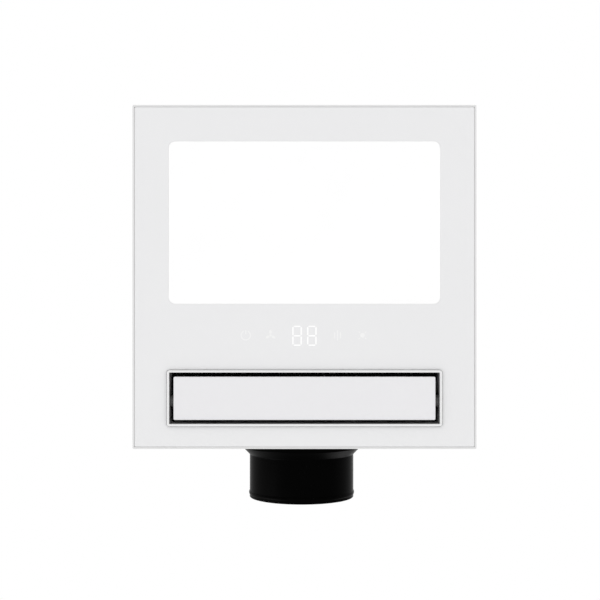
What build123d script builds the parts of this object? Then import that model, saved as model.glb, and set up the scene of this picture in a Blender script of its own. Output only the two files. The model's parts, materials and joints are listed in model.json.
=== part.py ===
from build123d import *
import math
import os

# A square bathroom ceiling heater. Its panel holds a light window, a small display and a warm-air
# outlet with a swinging blade. Above the ceiling, a steel case holds a fan, a ceramic heater and a
# changeover flap that can send stale air out through a round duct spigot instead.
# Millimetres. +Z points up into the ceiling void, so the visible face looks down. The origin is the
# centre of the panel, in the plane of the ceiling. The spigot points along -Y.

# Panel
panel_side = 300.0
panel_depth = 12.0
panel_corner = 1.0
rim_width = 1.7
face_groove = 0.4
face_thickness = 3.0
ledge_width = 9.0
ledge_thickness = 2.0
post_inset = 17.0
post_radius = 5.0
post_gusset = 2.0

# Ring between the panel and the case, whose raised outer step lies against the ceiling
ring_inset = 1.0
ring_width = 17.0
ring_thickness = 2.0
ring_step = 0.5
ring_step_gap = 1.0

# Case above the ceiling
case_side = 280.0
case_height = 150.0
sheet = 1.0
corner_tab = 16.0
top_flange = 12.0
lid_skirt = 8.0
lid_gap = 0.2
bead_height = 0.8
bead_width = 8.0
bead_z = 20.0
bead_below_top = 16.0
bead_end_inset = 30.0
bead_gap = 18.0
wire_hole_radius = 6.0
wire_hole_offset = 12.0
lid_corner = 1.5
lid_frame_side = 120.0
lid_frame_band = 6.0
lid_frame_corner = 8.0
lid_rib_length = 60.0
lid_rib_width = 9.0
lid_rib_pitch = 62.0
lid_rib_inset = 22.0
lid_screw_at = 90.0

# Light window and lamp tray
window_width = 237.2
window_length = 142.1
window_corner = 6.0
window_y = 47.4
window_gap = 0.15
diffuser_flange = 1.0
guide_thickness = 3.0
reflector_thickness = 0.5
tray_sheet = 1.0
tray_margin_x = 3.0
tray_margin_y = 6.0
tray_fit = 0.3
strip_thickness = 1.0
strip_count = 20
chip_size = 3.2
chip_thickness = 1.0
tray_ear = 8.0
tray_ear_spread = 0.75
driver_length = 92.0
driver_width = 36.0
driver_height = 15.0
driver_corner = 3.0
driver_ear = 9.0
driver_ear_width = 14.0
driver_ear_thickness = 2.0
driver_ear_hole = 4.5
driver_lid = 1.2
driver_lid_lip = 0.4
driver_edge_x = 6.6
driver_edge_y = 11.05

# Warm-air outlet
outlet_y = -105.7
trim_width = 242.0
trim_length = 51.0
trim_corner = 3.0
trim_proud = 2.0
trim_wall = 1.5
trim_height = 24.0
opening_width = 235.8
opening_length = 44.9
blade_width = 228.6
blade_length = 38.2
blade_thickness = 2.5
blade_rib = 2.5
louvre_offset_y = -3.0
louvre_axis_height = 8.0
boss_radius = 5.45
boss_shoulder = 1.5
blade_corner = 1.0
blade_rib_y = 10.0
blade_rib_width = 1.8
blade_rib_inset = 15.0
blade_ear = 2.5
blade_ear_half = 4.5
stub_radius = 3.5
running_gap = 0.05
moving_gap = 0.3

# Duct above the outlet, guard and ceramic heater
duct_wall = 1.2
duct_fit = 0.3
duct_flange = 11.5
duct_screw_inset = 11.7
duct_screw_edge = 0.3
duct_shaft_gap = 1.0
duct_slot_half = 15.0
duct_slot_low = 4.0
duct_slot_high = 18.0
guard_clearance = 1.4
guard_wire = 1.8
guard_long_wires = 4
guard_cross_wires = 15
guard_band = 2.4
ptc_height = 24.0
ptc_fit = 0.5
ptc_rail = 3.0
ptc_cap = 10.0
ptc_bar = 5.5
ptc_bars_count = 3
ptc_core_height = 20.0
fin_pitch = 3.6
fin_thickness = 0.3
terminal_pitch = 9.0
terminal_width = 6.3
terminal_length = 12.0
terminal_thickness = 0.8
cutout_x = 60.0
cutout_rise = 8.0
cutout_flange_radius = 11.0
cutout_radius = 8.0
cutout_depth = 8.0
cutout_flange = 1.0
cutout_blade = 4.8
cutout_blade_length = 6.0

# Changeover chamber and its flap
chamber_wall = 1.5
chamber_half_width = 117.5
chamber_depth = 60.0
seat_height = 3.5
seat_wall = 2.0
flap_length = 53.0
flap_thickness = 1.5
flap_seal = 1.2
flap_seal_width = 5.0
flap_seal_wrap = 1.2
flap_seal_gap = 0.35
flap_side_gap = 1.0
flap_shaft_radius = 2.0
bush_radius = 3.5
bush_flange_radius = 5.0
bush_flange = 1.2
chamber_headroom = 0.8
flap_rib_pitch = 70.0
flap_rib_width = 4.0
flap_rib_height = 3.0
flap_rib_start = 8.0
flap_rib_end = 10.0
flap_barrel_wall = 1.0
flap_seal_start = 2.0
mouth_lift = 1.5
spigot_window_width = 84.0
spigot_window_height = 45.0

# Small geared motors
gear_motor_length = 17.4
louvre_motor_radius = 12.0
damper_motor_radius = 14.0
gear_motor_offset = 8.0
drive_radius = 2.4
drive_depth = 3.5
drive_insert = 1.0
gear_ear_width = 7.0
gear_ear_reach = 6.0
gear_ear_thickness = 1.0
gear_cap_share = 0.55
gear_cap = 0.2
motor_foot_radius = 2.4
motor_foot_offset = 2.5
motor_foot_depth = 0.5

# Fan
fan_side_clearance = 19.0
fan_back_clearance = 2.0
volute_lift = 1.2
volute_wall = 2.0
scroll_radius = 84.0
scroll_step = 12.0
tongue_angle = -135.0
inlet_radius = 50.0
inlet_flange_radius = 62.0
inlet_flange = 1.5
inlet_drop = 7.0
inlet_wall = 2.5
inlet_gap = 0.5
inlet_lip_gap = 1.0
bell_flare = 8.0
bell_height = 6.0
wheel_radius = 66.0
wheel_inner_radius = 54.0
wheel_gap = 4.0
wheel_plate = 2.0
wheel_blades = 36
wheel_blade_thickness = 1.2
wheel_blade_lead = 12.0
wheel_ring_height = 3.0
wheel_ring_overlap = 2.0
hub_radius = 11.0
hub_height = 18.0
shaft_radius = 4.0
nut_radius = 7.0
nut_height = 4.0
rail_width = 14.0
rail_sheet = 1.2
rail_front_gap = 4.0
rail_back_gap = 3.0
rail_upturn = 12.0
fan_bar_end = 6.0
fan_screw_gap = 1.0
screw_point = 3.0

# Fan motor
motor_headroom = 4.0
motor_lift = 2.0
motor_radius = 44.0
motor_height = 38.0
motor_wall = 1.5
rotor_radius = 22.0
rotor_gap = 0.5
rotor_height = 22.0
stator_gap = 0.2
bearing_radius = 8.0
bearing_height = 5.0
lug_circle = 54.0
lug_radius = 7.0
capacitor_length = 37.0
capacitor_width = 17.0
capacitor_height = 28.0
capacitor_x = 82.0
capacitor_y = 2.0
capacitor_corner = 2.0
capacitor_foot = 1.5
capacitor_foot_inset = 4.0
capacitor_foot_reach = 7.0
motor_round = 3.0
motor_vents = 8
motor_vent_radius = 4.0
motor_vent_share = 0.84
shaft_clearance = 1.0
lug_arm_width = 10.0
lug_arm_length = 24.0
hub_hole_gap = 2.0
shaft_tail = 2.0

# Round duct spigot and its gravity flap
spigot_below_top = 72.0
spigot_x = 2.4
spigot_radius = 49.0
spigot_bore = 46.5
shoulder_radius = 56.0
shoulder_bore = 53.5
shoulder_end = 158.4
cone_end = 165.3
spigot_end = 205.7
bead_at = 201.3
bead_width = 2.0
bead_proud = 0.7
spigot_flange = 118.0
spigot_flange_thickness = 2.5
gasket_thickness = 1.5
spigot_screw_inset = 8.0
check_flap_y = -172.0
check_flap_radius = 45.2
check_flap_thickness = 1.2
check_hinge_rise = 12.0
check_pin_radius = 1.5
check_barrel_radius = 3.0
check_seat = 2.5
check_seat_thickness = 1.5
check_pin_depth = 2.0
spigot_flange_corner = 6.0
check_edge_gap = 1.0

# Wiring box, cable entry and control box
wiring_depth = 16.0
wiring_y0 = 84.0
wiring_y1 = 134.0
wiring_z0 = 70.0
wiring_z1 = 120.0
wiring_wall = 1.2
wiring_corner = 3.0
gland_radius = 7.5
gland_bore = 4.0
gland_nut_length = 5.0
gland_dome_length = 13.0
gland_z = 98.0
gland_wall = 1.5
gland_inside = 3.0
gland_dome_step = 1.0
gland_dome_round = 2.0
terminals = 3
terminals_pitch = 10.0
terminals_y = 6.0
terminals_z = 5.0
terminals_depth = 11.0
terminals_length = 30.0
terminals_height = 12.0
terminal_well_radius = 2.6
terminal_well = 4.0
terminal_screw_radius = 2.0
control_length = 140.0
control_y0 = -50.0
control_z0 = 58.0
control_height = 72.0
control_depth = 27.0
control_wall = 2.0
wire_notch_width = 24.0
wire_notch_depth = 12.0
board_thickness = 1.6
board_lift = 4.0
board_gap = 1.0
board_post_radius = 3.0
board_post_inset = 10.0
relays = 4
relay_pitch = 20.0
relay_width = 16.0
relay_height = 15.0
relay_length = 20.0
relay_y = 16.0
relay_below_top = 6.0
transformer_height = 16.0
transformer_length = 30.0
transformer_width = 28.0
transformer_at = 10.0
plugs = 5
plug_pitch = 14.0
plug_width = 10.0
plug_height = 8.0
plug_y = 12.0
plug_z = 3.0
cover_lip = 2.5
cover_lip_wall = 1.5
cover_lip_gap = 0.2
cover_vents = 8
cover_vent_pitch = 12.0
cover_vent_width = 4.0
cover_vent_y = 28.0
cover_vent_inset = 20.0

# Hanging brackets
bracket_span_y = 90.0
bracket_width = 24.0
bracket_sheet = 1.5
bracket_reach = 15.0
bracket_z = 40.0
bracket_height = 26.0
hanger_hole_x = 148.0
hanger_hole_radius = 2.75

# Display
display_y = -50.9
digit_height = 18.5
digit_width = 9.0
digit_pitch = 14.0
digit_stroke = 1.3
digit_gap = 0.5
digit_x = 0.0
inlay_depth = 0.4
icon_size = 9.0
icon_xs = (51.2, 29.6, -28.8, -50.6)
display_board_width = 150.0
display_board_length = 24.0
display_shroud_height = 4.0
display_screw_inset = 3.5
display_bite = 0.8
shroud_wall = 1.6
module_gap = 1.0
plug_x = 40.0
display_plug_length = 12.0
display_plug_width = 6.0
display_plug_height = 5.0
icon_stroke = 1.0
ring_opening = 3.4
ring_bar = 3.6
petal_reach = 3.0
petal_half_width = 1.1
petal_half_length = 1.7
heat_pitch = 2.6
lamp_radius = 2.0
ray_reach = 3.9
ray_width = 0.8
ray_length = 1.6

# Fasteners
screw_radius = 1.5
screw_head_radius = 3.0
screw_head = 2.2
screw_hole_gap = 0.15
screw_pocket_gap = 0.2
nut_across = 3.1
nut_thickness = 2.4
nut_stand = 1.2

# Places and sizes that follow from the values above
panel_half = panel_side / 2
face_z = -panel_depth
face_back_z = face_z + face_thickness
rim_top_z = face_back_z + ledge_thickness
ring_half = panel_half - ring_inset
case_half = case_side / 2
case_inner = case_half - sheet
post_at = panel_half - post_inset
louvre_y = outlet_y + louvre_offset_y
louvre_z = face_z + louvre_axis_height
blade_z = face_z
trim_top_z = face_z + trim_height
sleeve_half_x = opening_width / 2 + trim_wall
sleeve_half_y = opening_length / 2 + trim_wall
duct_half_x = sleeve_half_x + duct_fit
duct_half_y = sleeve_half_y + duct_fit
blade_back_reach = blade_length / 2 - louvre_offset_y
guard_z = louvre_z + blade_back_reach + guard_clearance
ptc_z = guard_z + guard_wire
duct_top_z = ptc_z + ptc_height
chamber_floor_z = duct_top_z + chamber_wall
chamber_front_y = -case_inner
chamber_front_inner_y = chamber_front_y + chamber_wall
chamber_back_inner_y = chamber_front_inner_y + chamber_depth
chamber_back_y = chamber_back_inner_y + chamber_wall
flap_half_thickness = flap_thickness / 2 + flap_seal
flap_axis_offset = seat_height + flap_seal_gap + flap_half_thickness
flap_y = chamber_front_inner_y + flap_axis_offset
flap_z = chamber_floor_z + flap_axis_offset
chamber_top_z = flap_z + flap_length + chamber_headroom
chamber_end = chamber_half_width + chamber_wall
spigot_window_z0 = flap_z + flap_half_thickness + seat_wall
spigot_window_z1 = spigot_window_z0 + spigot_window_height
spigot_z = case_height - spigot_below_top
gasket_y = -case_half - gasket_thickness
spigot_flange_y = gasket_y - spigot_flange_thickness
volute_floor_z = chamber_floor_z + volute_lift
volute_inner_z = volute_floor_z + volute_wall
motor_z1 = case_height - motor_headroom
motor_z0 = motor_z1 - motor_height
cover_top_z = motor_z0 - motor_lift
volute_top_z = cover_top_z - volute_wall
volute_height = volute_top_z - volute_inner_z
wheel_z0 = volute_inner_z + wheel_gap
wheel_z1 = volute_top_z - wheel_gap
wheel_height = wheel_z1 - wheel_z0
scroll_offset = scroll_step / 2
fan_x = case_inner - fan_side_clearance - volute_wall - scroll_radius - scroll_offset
fan_y = case_inner - fan_back_clearance - volute_wall - scroll_radius - scroll_step - scroll_offset
rail_reach = inlet_flange_radius + rail_width / 2
rail_front_y = fan_y - rail_reach - rail_front_gap
rail_back_y = fan_y + rail_reach + rail_back_gap
check_hinge_z = spigot_z + check_hinge_rise
screw_hole_radius = screw_radius + screw_hole_gap
tray_half_x = window_width / 2 + tray_margin_x
tray_half_y = window_length / 2 + tray_margin_y
guide_z = face_back_z + diffuser_flange
reflector_z = guide_z + guide_thickness
tray_inner_z = reflector_z + reflector_thickness
tray_top_z = tray_inner_z + tray_sheet


def block(x0, x1, y0, y1, z0, z1):
    """A block between two opposite corners."""
    return Pos((x0 + x1) / 2, (y0 + y1) / 2, (z0 + z1) / 2) * Box(x1 - x0, y1 - y0, z1 - z0)


def slab(x, y, width, length, z0, z1, corner=0.0):
    """A flat plate centred on a point, with rounded corners where a radius is given."""
    outline = Rectangle(width, length)
    if corner > 0:
        outline = RectangleRounded(width, length, corner)
    return Pos(x, y, z0) * extrude(outline, z1 - z0)


def frame_ring(x, y, outer_half_x, outer_half_y, inner_half_x, inner_half_y, z0, z1):
    """A rectangular ring: one plate with a smaller one cut out of it."""
    outer = slab(x, y, 2 * outer_half_x, 2 * outer_half_y, z0, z1)
    return outer - slab(x, y, 2 * inner_half_x, 2 * inner_half_y, z0 - 1, z1 + 1)


def rod_x(radius, x0, x1, y, z):
    """A round rod along X."""
    return Pos((x0 + x1) / 2, y, z) * Rot(0, 90, 0) * Cylinder(radius, x1 - x0)


def rod_y(radius, y0, y1, x, z):
    """A round rod along Y."""
    return Pos(x, (y0 + y1) / 2, z) * Rot(90, 0, 0) * Cylinder(radius, y1 - y0)


def rod_z(radius, z0, z1, x, y):
    """A round rod along Z."""
    return Pos(x, y, (z0 + z1) / 2) * Cylinder(radius, z1 - z0)


def hex_z(radius, z0, z1, x, y):
    """A hexagonal prism along Z, such as a nut's body."""
    return Pos(x, y, z0) * extrude(RegularPolygon(radius, 6), z1 - z0)


def corners(half_x, half_y, x=0.0, y=0.0):
    """The four corners of a rectangle round a point."""
    return [(x + sx * half_x, y + sy * half_y) for sx in (-1, 1) for sy in (-1, 1)]


def screw_down(x, y, seat_z, length):
    """A pan-head screw whose head sits on seat_z and whose shank points down."""
    head = rod_z(screw_head_radius, seat_z, seat_z + screw_head, x, y)
    return head + rod_z(screw_radius, seat_z - length, seat_z, x, y)


def screw_up(x, y, seat_z, length):
    """A pan-head screw whose head hangs below seat_z and whose shank points up."""
    head = rod_z(screw_head_radius, seat_z - screw_head, seat_z, x, y)
    return head + rod_z(screw_radius, seat_z, seat_z + length, x, y)


def hole_z(z0, z1, x, y):
    """The clearance hole for one screw along Z."""
    return rod_z(screw_hole_radius, z0 - 1, z1 + 1, x, y)


def save(name, *shapes):
    """Write one sub-part. Several separate solids share its file as a group."""
    solids = [solid for shape in shapes for solid in shape.solids()]
    result = solids[0] if len(solids) == 1 else Compound(children=solids)
    result.label = name
    export_step(result, f"parts/{name}.step")
    print(f"{name}: {len(solids)} solid(s)")


# Panel pieces

def panel_screw_points():
    """The four corner posts that carry the panel."""
    return corners(post_at, post_at)


def make_panel_frame():
    """A thin rim with an inner ledge behind the face plate, and four posts up to the ring."""
    rim_inner = panel_half - rim_width
    ledge_inner = rim_inner - ledge_width
    outline = slab(0, 0, panel_side, panel_side, face_z, rim_top_z, panel_corner)
    frame = outline - slab(0, 0, 2 * rim_inner, 2 * rim_inner, face_z - 1, face_back_z)
    frame -= slab(0, 0, 2 * ledge_inner, 2 * ledge_inner, face_z - 1, rim_top_z + 1)
    for x, y in panel_screw_points():
        gusset_half = post_radius + post_gusset
        frame += slab(x, y, 2 * gusset_half, 2 * gusset_half, face_back_z, rim_top_z)
        frame += rod_z(post_radius, rim_top_z, -ring_thickness, x, y)
    for x, y in panel_screw_points():
        frame -= hole_z(face_back_z, 0, x, y)
        pocket_top = face_back_z + screw_head + screw_pocket_gap
        frame -= rod_z(screw_head_radius + screw_pocket_gap, face_back_z - 1, pocket_top, x, y)
    return frame


def make_panel_screws():
    """Four screws up through the posts and the ring, each with a nut in the case."""
    screws = []
    seat_z = face_back_z + screw_head + screw_pocket_gap
    tab_top = -ring_step + sheet
    nut_top = tab_top + nut_thickness
    for x, y in panel_screw_points():
        screws.append(screw_up(x, y, seat_z, nut_top + nut_stand - seat_z))
        nut = hex_z(nut_across, tab_top, nut_top, x, y)
        screws.append(nut - rod_z(screw_radius + running_gap, tab_top - 1, nut_top + 1, x, y))
    return screws


def digit_segments(x, y):
    """The seven bars of one figure, as low plates that fill their pockets in the face."""
    half_w = digit_width / 2 - digit_stroke / 2
    half_h = digit_height / 4 - digit_stroke / 4
    bar_w = digit_width - 2 * digit_stroke - 2 * digit_gap
    bar_h = digit_height / 2 - 1.5 * digit_stroke - 2 * digit_gap
    top = face_z + inlay_depth
    bars = []
    for row in (-1, 0, 1):
        bars.append(slab(x, y + row * 2 * half_h, bar_w, digit_stroke, face_z, top))
    for side in (-1, 1):
        for row in (-1, 1):
            bars.append(slab(x + side * half_w, y + row * half_h, digit_stroke, bar_h, face_z, top))
    return bars


def make_display_digits():
    """Two seven-bar figures, both showing every bar."""
    bars = []
    for side in (-1, 1):
        bars += digit_segments(digit_x + side * digit_pitch / 2, display_y)
    return bars


def icon_ring(x):
    """A ring open at the top with a short bar in the gap, for on and off."""
    top = face_z + inlay_depth
    ring = rod_z(icon_size / 2, face_z, top, x, display_y)
    ring -= rod_z(icon_size / 2 - icon_stroke, face_z - 1, top + 1, x, display_y)
    ring -= slab(x, display_y + icon_size / 2, ring_opening, icon_size, face_z - 1, top + 1)
    bar_y = display_y + icon_size / 2 - ring_bar / 2
    return [ring, slab(x, bar_y, icon_stroke, ring_bar, face_z, top)]


def icon_fan(x):
    """Three petals round a hub, for the fan."""
    top = face_z + inlay_depth
    hub = rod_z(icon_stroke, face_z, top, x, display_y)
    petals = []
    for turn in range(3):
        petal = Pos(x, display_y) * Rot(0, 0, 120 * turn) * Pos(0, petal_reach)
        outline = petal * Ellipse(petal_half_width, petal_half_length)
        petals.append(Pos(0, 0, face_z) * extrude(outline, inlay_depth))
    return [hub] + petals


def icon_heat(x):
    """Three upright bars of unlike height, for warm air."""
    top = face_z + inlay_depth
    heights = (0.6, 1.0, 0.6)
    bars = []
    for index, share in enumerate(heights):
        bar_x = x + (index - 1) * heat_pitch
        bars.append(slab(bar_x, display_y, icon_stroke, icon_size * share, face_z, top))
    return bars


def icon_lamp(x):
    """A disc with four short rays, for the light."""
    top = face_z + inlay_depth
    parts = [rod_z(lamp_radius, face_z, top, x, display_y)]
    for turn in range(4):
        ray = Pos(x, display_y) * Rot(0, 0, 90 * turn + 45) * Pos(0, ray_reach)
        parts.append(Pos(0, 0, face_z) * extrude(ray * Rectangle(ray_width, ray_length), inlay_depth))
    return parts


def make_display_icons():
    """The four small icons in a row with the figures."""
    shapes = []
    for make, x in zip((icon_ring, icon_fan, icon_heat, icon_lamp), icon_xs):
        shapes += make(x)
    return shapes


def tray_screw_points():
    """The six ears of the lamp tray."""
    at_x = tray_half_x + tray_sheet + tray_ear / 2
    pitch = tray_half_y * tray_ear_spread
    return [(side * at_x, window_y + step * pitch) for side in (-1, 1) for step in (-1, 0, 1)]


def shroud_screw_points():
    """The four corners of the display board."""
    inset = display_screw_inset
    return corners(display_board_width / 2 - inset, display_board_length / 2 - inset, 0, display_y)


def make_face_plate(inlays):
    """The visible plate, with holes for the light window and the outlet."""
    half = panel_half - rim_width - face_groove
    plate = slab(0, 0, 2 * half, 2 * half, face_z, face_back_z)
    plate -= slab(0, window_y, window_width, window_length, face_z - 1, face_back_z + 1, window_corner)
    sleeve_x = 2 * (sleeve_half_x + duct_fit / 2)
    sleeve_y = 2 * (sleeve_half_y + duct_fit / 2)
    plate -= slab(0, outlet_y, sleeve_x, sleeve_y, face_z - 1, face_back_z + 1)
    for x, y in tray_screw_points():
        plate += rod_z(tray_ear / 2, face_back_z, tray_inner_z, x, y)
        plate -= rod_z(screw_hole_radius, face_back_z - 1, tray_inner_z + 1, x, y)
    for x, y in shroud_screw_points():
        plate -= rod_z(screw_hole_radius, face_back_z - 1, face_back_z + 1, x, y)
    for inlay in inlays:
        plate -= inlay
    return plate


def make_display_shroud():
    """A black frame that keeps each figure's light from its neighbours."""
    z0 = face_back_z
    z1 = z0 + display_shroud_height
    shroud = slab(0, display_y, display_board_width, display_board_length, z0, z1)
    shroud -= slab(0, display_y, 2 * digit_pitch, digit_height, z0 - 1, z1 + 1)
    cell = icon_size + shroud_wall
    for x in icon_xs:
        shroud -= slab(x, display_y, cell, cell, z0 - 1, z1 + 1)
    for x, y in shroud_screw_points():
        shroud -= hole_z(z0, z1, x, y)
    return shroud


def make_display_board():
    """The circuit board behind the shroud, with its figure module and icon lamps."""
    z0 = face_back_z + display_shroud_height
    z1 = z0 + board_thickness
    board = slab(0, display_y, display_board_width, display_board_length, z0, z1)
    board += slab(0, display_y, digit_pitch * 2 - module_gap, digit_height - module_gap,
                  face_back_z + module_gap, z0)
    for x in icon_xs:
        board += slab(x, display_y, chip_size, chip_size, z0 - chip_thickness, z0)
    board += slab(plug_x, display_y, display_plug_length, display_plug_width, z1, z1 + display_plug_height)
    for x, y in shroud_screw_points():
        board -= hole_z(z0, z1, x, y)
    return board


def make_display_screws():
    """Four screws through the board and its shroud into the face plate."""
    seat_z = face_back_z + display_shroud_height + board_thickness
    length = display_shroud_height + board_thickness + display_bite
    return [screw_down(x, y, seat_z, length) for x, y in shroud_screw_points()]


# Light

def make_light_diffuser():
    """The white window, flush with the face, with a thin flange behind it."""
    width = window_width - 2 * window_gap
    length = window_length - 2 * window_gap
    corner = window_corner - window_gap
    window = slab(0, window_y, width, length, face_z, face_back_z, corner)
    flange_x = 2 * (tray_half_x - tray_fit)
    flange_y = 2 * (tray_half_y - tray_fit)
    return window + slab(0, window_y, flange_x, flange_y, face_back_z, guide_z)


def strip_y(side):
    """The outer face of the lamp strip on one long side of the tray."""
    return window_y + side * tray_half_y


def guide_half_y():
    """Half the light guide's length, clear of the strips and their lamps."""
    return tray_half_y - strip_thickness - chip_thickness - 1.0


def make_light_guide():
    """A clear sheet that spreads the strips' light."""
    half_x = tray_half_x - 2 * tray_fit
    return slab(0, window_y, 2 * half_x, 2 * guide_half_y(), guide_z, reflector_z)


def make_reflector_sheet():
    """A white sheet behind the light guide."""
    half_x = tray_half_x - 2 * tray_fit
    return slab(0, window_y, 2 * half_x, 2 * guide_half_y(), reflector_z, tray_inner_z)


def make_led_strips():
    """One strip along each long wall of the tray, with its lamps facing the light guide."""
    strips = []
    z0 = guide_z
    z1 = tray_inner_z
    half_x = tray_half_x - 2 * tray_fit
    pitch = 2 * half_x / strip_count
    for side in (-1, 1):
        wall = strip_y(side)
        strip = slab(0, wall - side * strip_thickness / 2, 2 * half_x, strip_thickness, z0, z1)
        chip_y = wall - side * (strip_thickness + chip_thickness / 2)
        for index in range(strip_count):
            x = -half_x + (index + 0.5) * pitch
            strip += slab(x, chip_y, chip_size, chip_thickness, z0 + 0.4, z1 - 0.4)
        strips.append(strip)
    return strips


def make_light_tray():
    """The folded tray that holds the lamp's sheets against the face plate."""
    outer_x = tray_half_x + tray_sheet
    outer_y = tray_half_y + tray_sheet
    tray = slab(0, window_y, 2 * outer_x, 2 * outer_y, face_back_z, tray_top_z)
    tray -= slab(0, window_y, 2 * tray_half_x, 2 * tray_half_y, face_back_z - 1, tray_inner_z)
    for x, y in tray_screw_points():
        side = 1 if x > 0 else -1
        ear = slab(x, y, tray_ear, tray_ear, tray_inner_z, tray_top_z)
        tray += ear + slab(x - side * 1, y, tray_ear, tray_ear, tray_inner_z, tray_top_z)
        tray -= hole_z(tray_inner_z, tray_top_z, x, y)
    return tray


def make_tray_screws():
    """Six short screws down through the tray's ears into the face plate's bosses."""
    return [screw_down(x, y, tray_top_z, tray_top_z - face_back_z - 1.0) for x, y in tray_screw_points()]


def make_led_driver():
    """The lamp's power supply, a small box screwed to the back of the tray."""
    x = -(tray_half_x - driver_edge_x - driver_ear - driver_length / 2)
    y = window_y + tray_half_y - driver_edge_y - driver_width / 2
    ear_top = tray_top_z + driver_ear_thickness
    case_top = tray_top_z + driver_height
    case = slab(x, y, driver_length, driver_width, tray_top_z, case_top, driver_corner)
    case += slab(x, y, driver_length + 2 * driver_ear, driver_ear_width, tray_top_z, ear_top, driver_corner)
    for side in (-1, 1):
        case -= hole_z(tray_top_z, ear_top, x + side * (driver_length / 2 + driver_ear_hole), y)
    lid_length = driver_length + 2 * driver_lid_lip
    lid_width = driver_width + 2 * driver_lid_lip
    return case + slab(x, y, lid_length, lid_width, case_top, case_top + driver_lid, driver_corner)


# Ring and case

def make_ceiling_ring():
    """The ring between panel and case. Its raised outer step lies against the ceiling."""
    inner = ring_half - ring_width
    ring = frame_ring(0, 0, ring_half, ring_half, inner, inner, -ring_thickness, -ring_step)
    step_inner = case_half + ring_step_gap
    ring += frame_ring(0, 0, ring_half, ring_half, step_inner, step_inner, -ring_step, 0)
    for x, y in panel_screw_points():
        gusset = 2 * (post_radius + post_gusset)
        ring += slab(x, y, gusset, gusset, -ring_thickness, -ring_step)
        ring -= hole_z(-ring_thickness, 0, x, y)
    notch_half = louvre_motor_radius + 1.0
    notch_end = duct_half_x + duct_wall + gear_motor_length + 1.0
    return ring - block(duct_half_x, notch_end, louvre_y - notch_half, louvre_y + notch_half,
                        -ring_thickness - 1, 1)


def spigot_window(y0, y1):
    """The rectangular way from the changeover chamber into the spigot."""
    half = spigot_window_width / 2
    return block(spigot_x - half, spigot_x + half, y0, y1, spigot_window_z0, spigot_window_z1)


def side_bead(side, y0, y1, z):
    """A long pressed rib on one side wall, which stiffens the sheet."""
    x = side * case_half
    half = bead_width / 2
    rib = slab(0, (y0 + y1) / 2, 2 * bead_height, y1 - y0, z - half, z + half)
    rib = fillet(rib.edges().filter_by(Axis.X), half - 0.5)
    return Pos(x, 0, 0) * rib


def make_housing():
    """Four folded walls with a top flange for the lid and four corner tabs for the panel."""
    bottom = -ring_step
    top = case_height
    walls = frame_ring(0, 0, case_half, case_half, case_inner, case_inner, bottom, top)
    lip = case_half - top_flange
    walls += frame_ring(0, 0, case_inner, case_inner, lip, lip, top - sheet, top)
    for x, y in corners(case_half - corner_tab / 2, case_half - corner_tab / 2):
        walls += slab(x, y, corner_tab, corner_tab, bottom, bottom + sheet)
    for side in (-1, 1):
        for z in (bead_z, top - bead_below_top):
            walls += side_bead(side, bead_end_inset - case_half, wiring_y0 - bead_gap, z)
    for x, y in panel_screw_points():
        walls -= hole_z(bottom, bottom + sheet, x, y)
    walls -= spigot_window(-case_half - 1, -case_inner + 1)
    for x, z in spigot_screw_points():
        walls -= rod_y(screw_hole_radius, -case_half - 1, -case_inner + 1, x, z)
    for place in lid_screw_places():
        walls -= place * rod_x(screw_hole_radius, -4, 2, 0, 0)
    wire_y = wiring_y0 + wire_hole_offset
    wire_z = (wiring_z0 + wiring_z1) / 2 + wire_hole_offset
    walls -= rod_x(wire_hole_radius, -case_half - 1, -case_inner + 1, wire_y, wire_z)
    return walls


def lid_screw_places():
    """Two screws in each side of the lid's skirt: places on the wall whose X points outwards."""
    places = []
    z = case_height - lid_skirt / 2
    for turn in range(4):
        angle = math.radians(90 * turn)
        for along in (-lid_screw_at, lid_screw_at):
            x = case_half * math.cos(angle) - along * math.sin(angle)
            y = case_half * math.sin(angle) + along * math.cos(angle)
            places.append(Pos(x, y, z) * Rot(0, 0, 90 * turn))
    return places


def make_top_lid():
    """A pan-shaped lid that slips over the walls."""
    inner = case_half + lid_gap
    outer = inner + sheet
    bottom = case_height - lid_skirt
    top = case_height + sheet
    lid = slab(0, 0, 2 * outer, 2 * outer, bottom, top, lid_corner)
    lid -= slab(0, 0, 2 * inner, 2 * inner, bottom - 1, case_height)
    for place in lid_screw_places():
        lid -= place * rod_x(screw_hole_radius, -4, 4, 0, 0)
    raised = slab(fan_x, fan_y, lid_frame_side, lid_frame_side, top, top + bead_height, lid_frame_corner)
    inner_side = lid_frame_side - 2 * lid_frame_band
    lid += raised - slab(fan_x, fan_y, inner_side, inner_side, top - 1, top + 2, lid_frame_corner / 2)
    rib_x = -(case_half - lid_rib_inset - lid_rib_length / 2)
    for step in (-1, 0, 1):
        lid += slab(rib_x, step * lid_rib_pitch, lid_rib_length, lid_rib_width, top, top + bead_height,
                    lid_rib_width / 2 - 0.5)
    return lid


def make_lid_screws():
    """Eight screws through the lid's skirt into the walls."""
    screws = []
    wall_to_head = lid_gap + sheet
    for place in lid_screw_places():
        screw = rod_x(screw_head_radius, wall_to_head, wall_to_head + screw_head, 0, 0)
        screw += rod_x(screw_radius, -screw_point, wall_to_head, 0, 0)
        screws.append(place * screw)
    return screws


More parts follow.
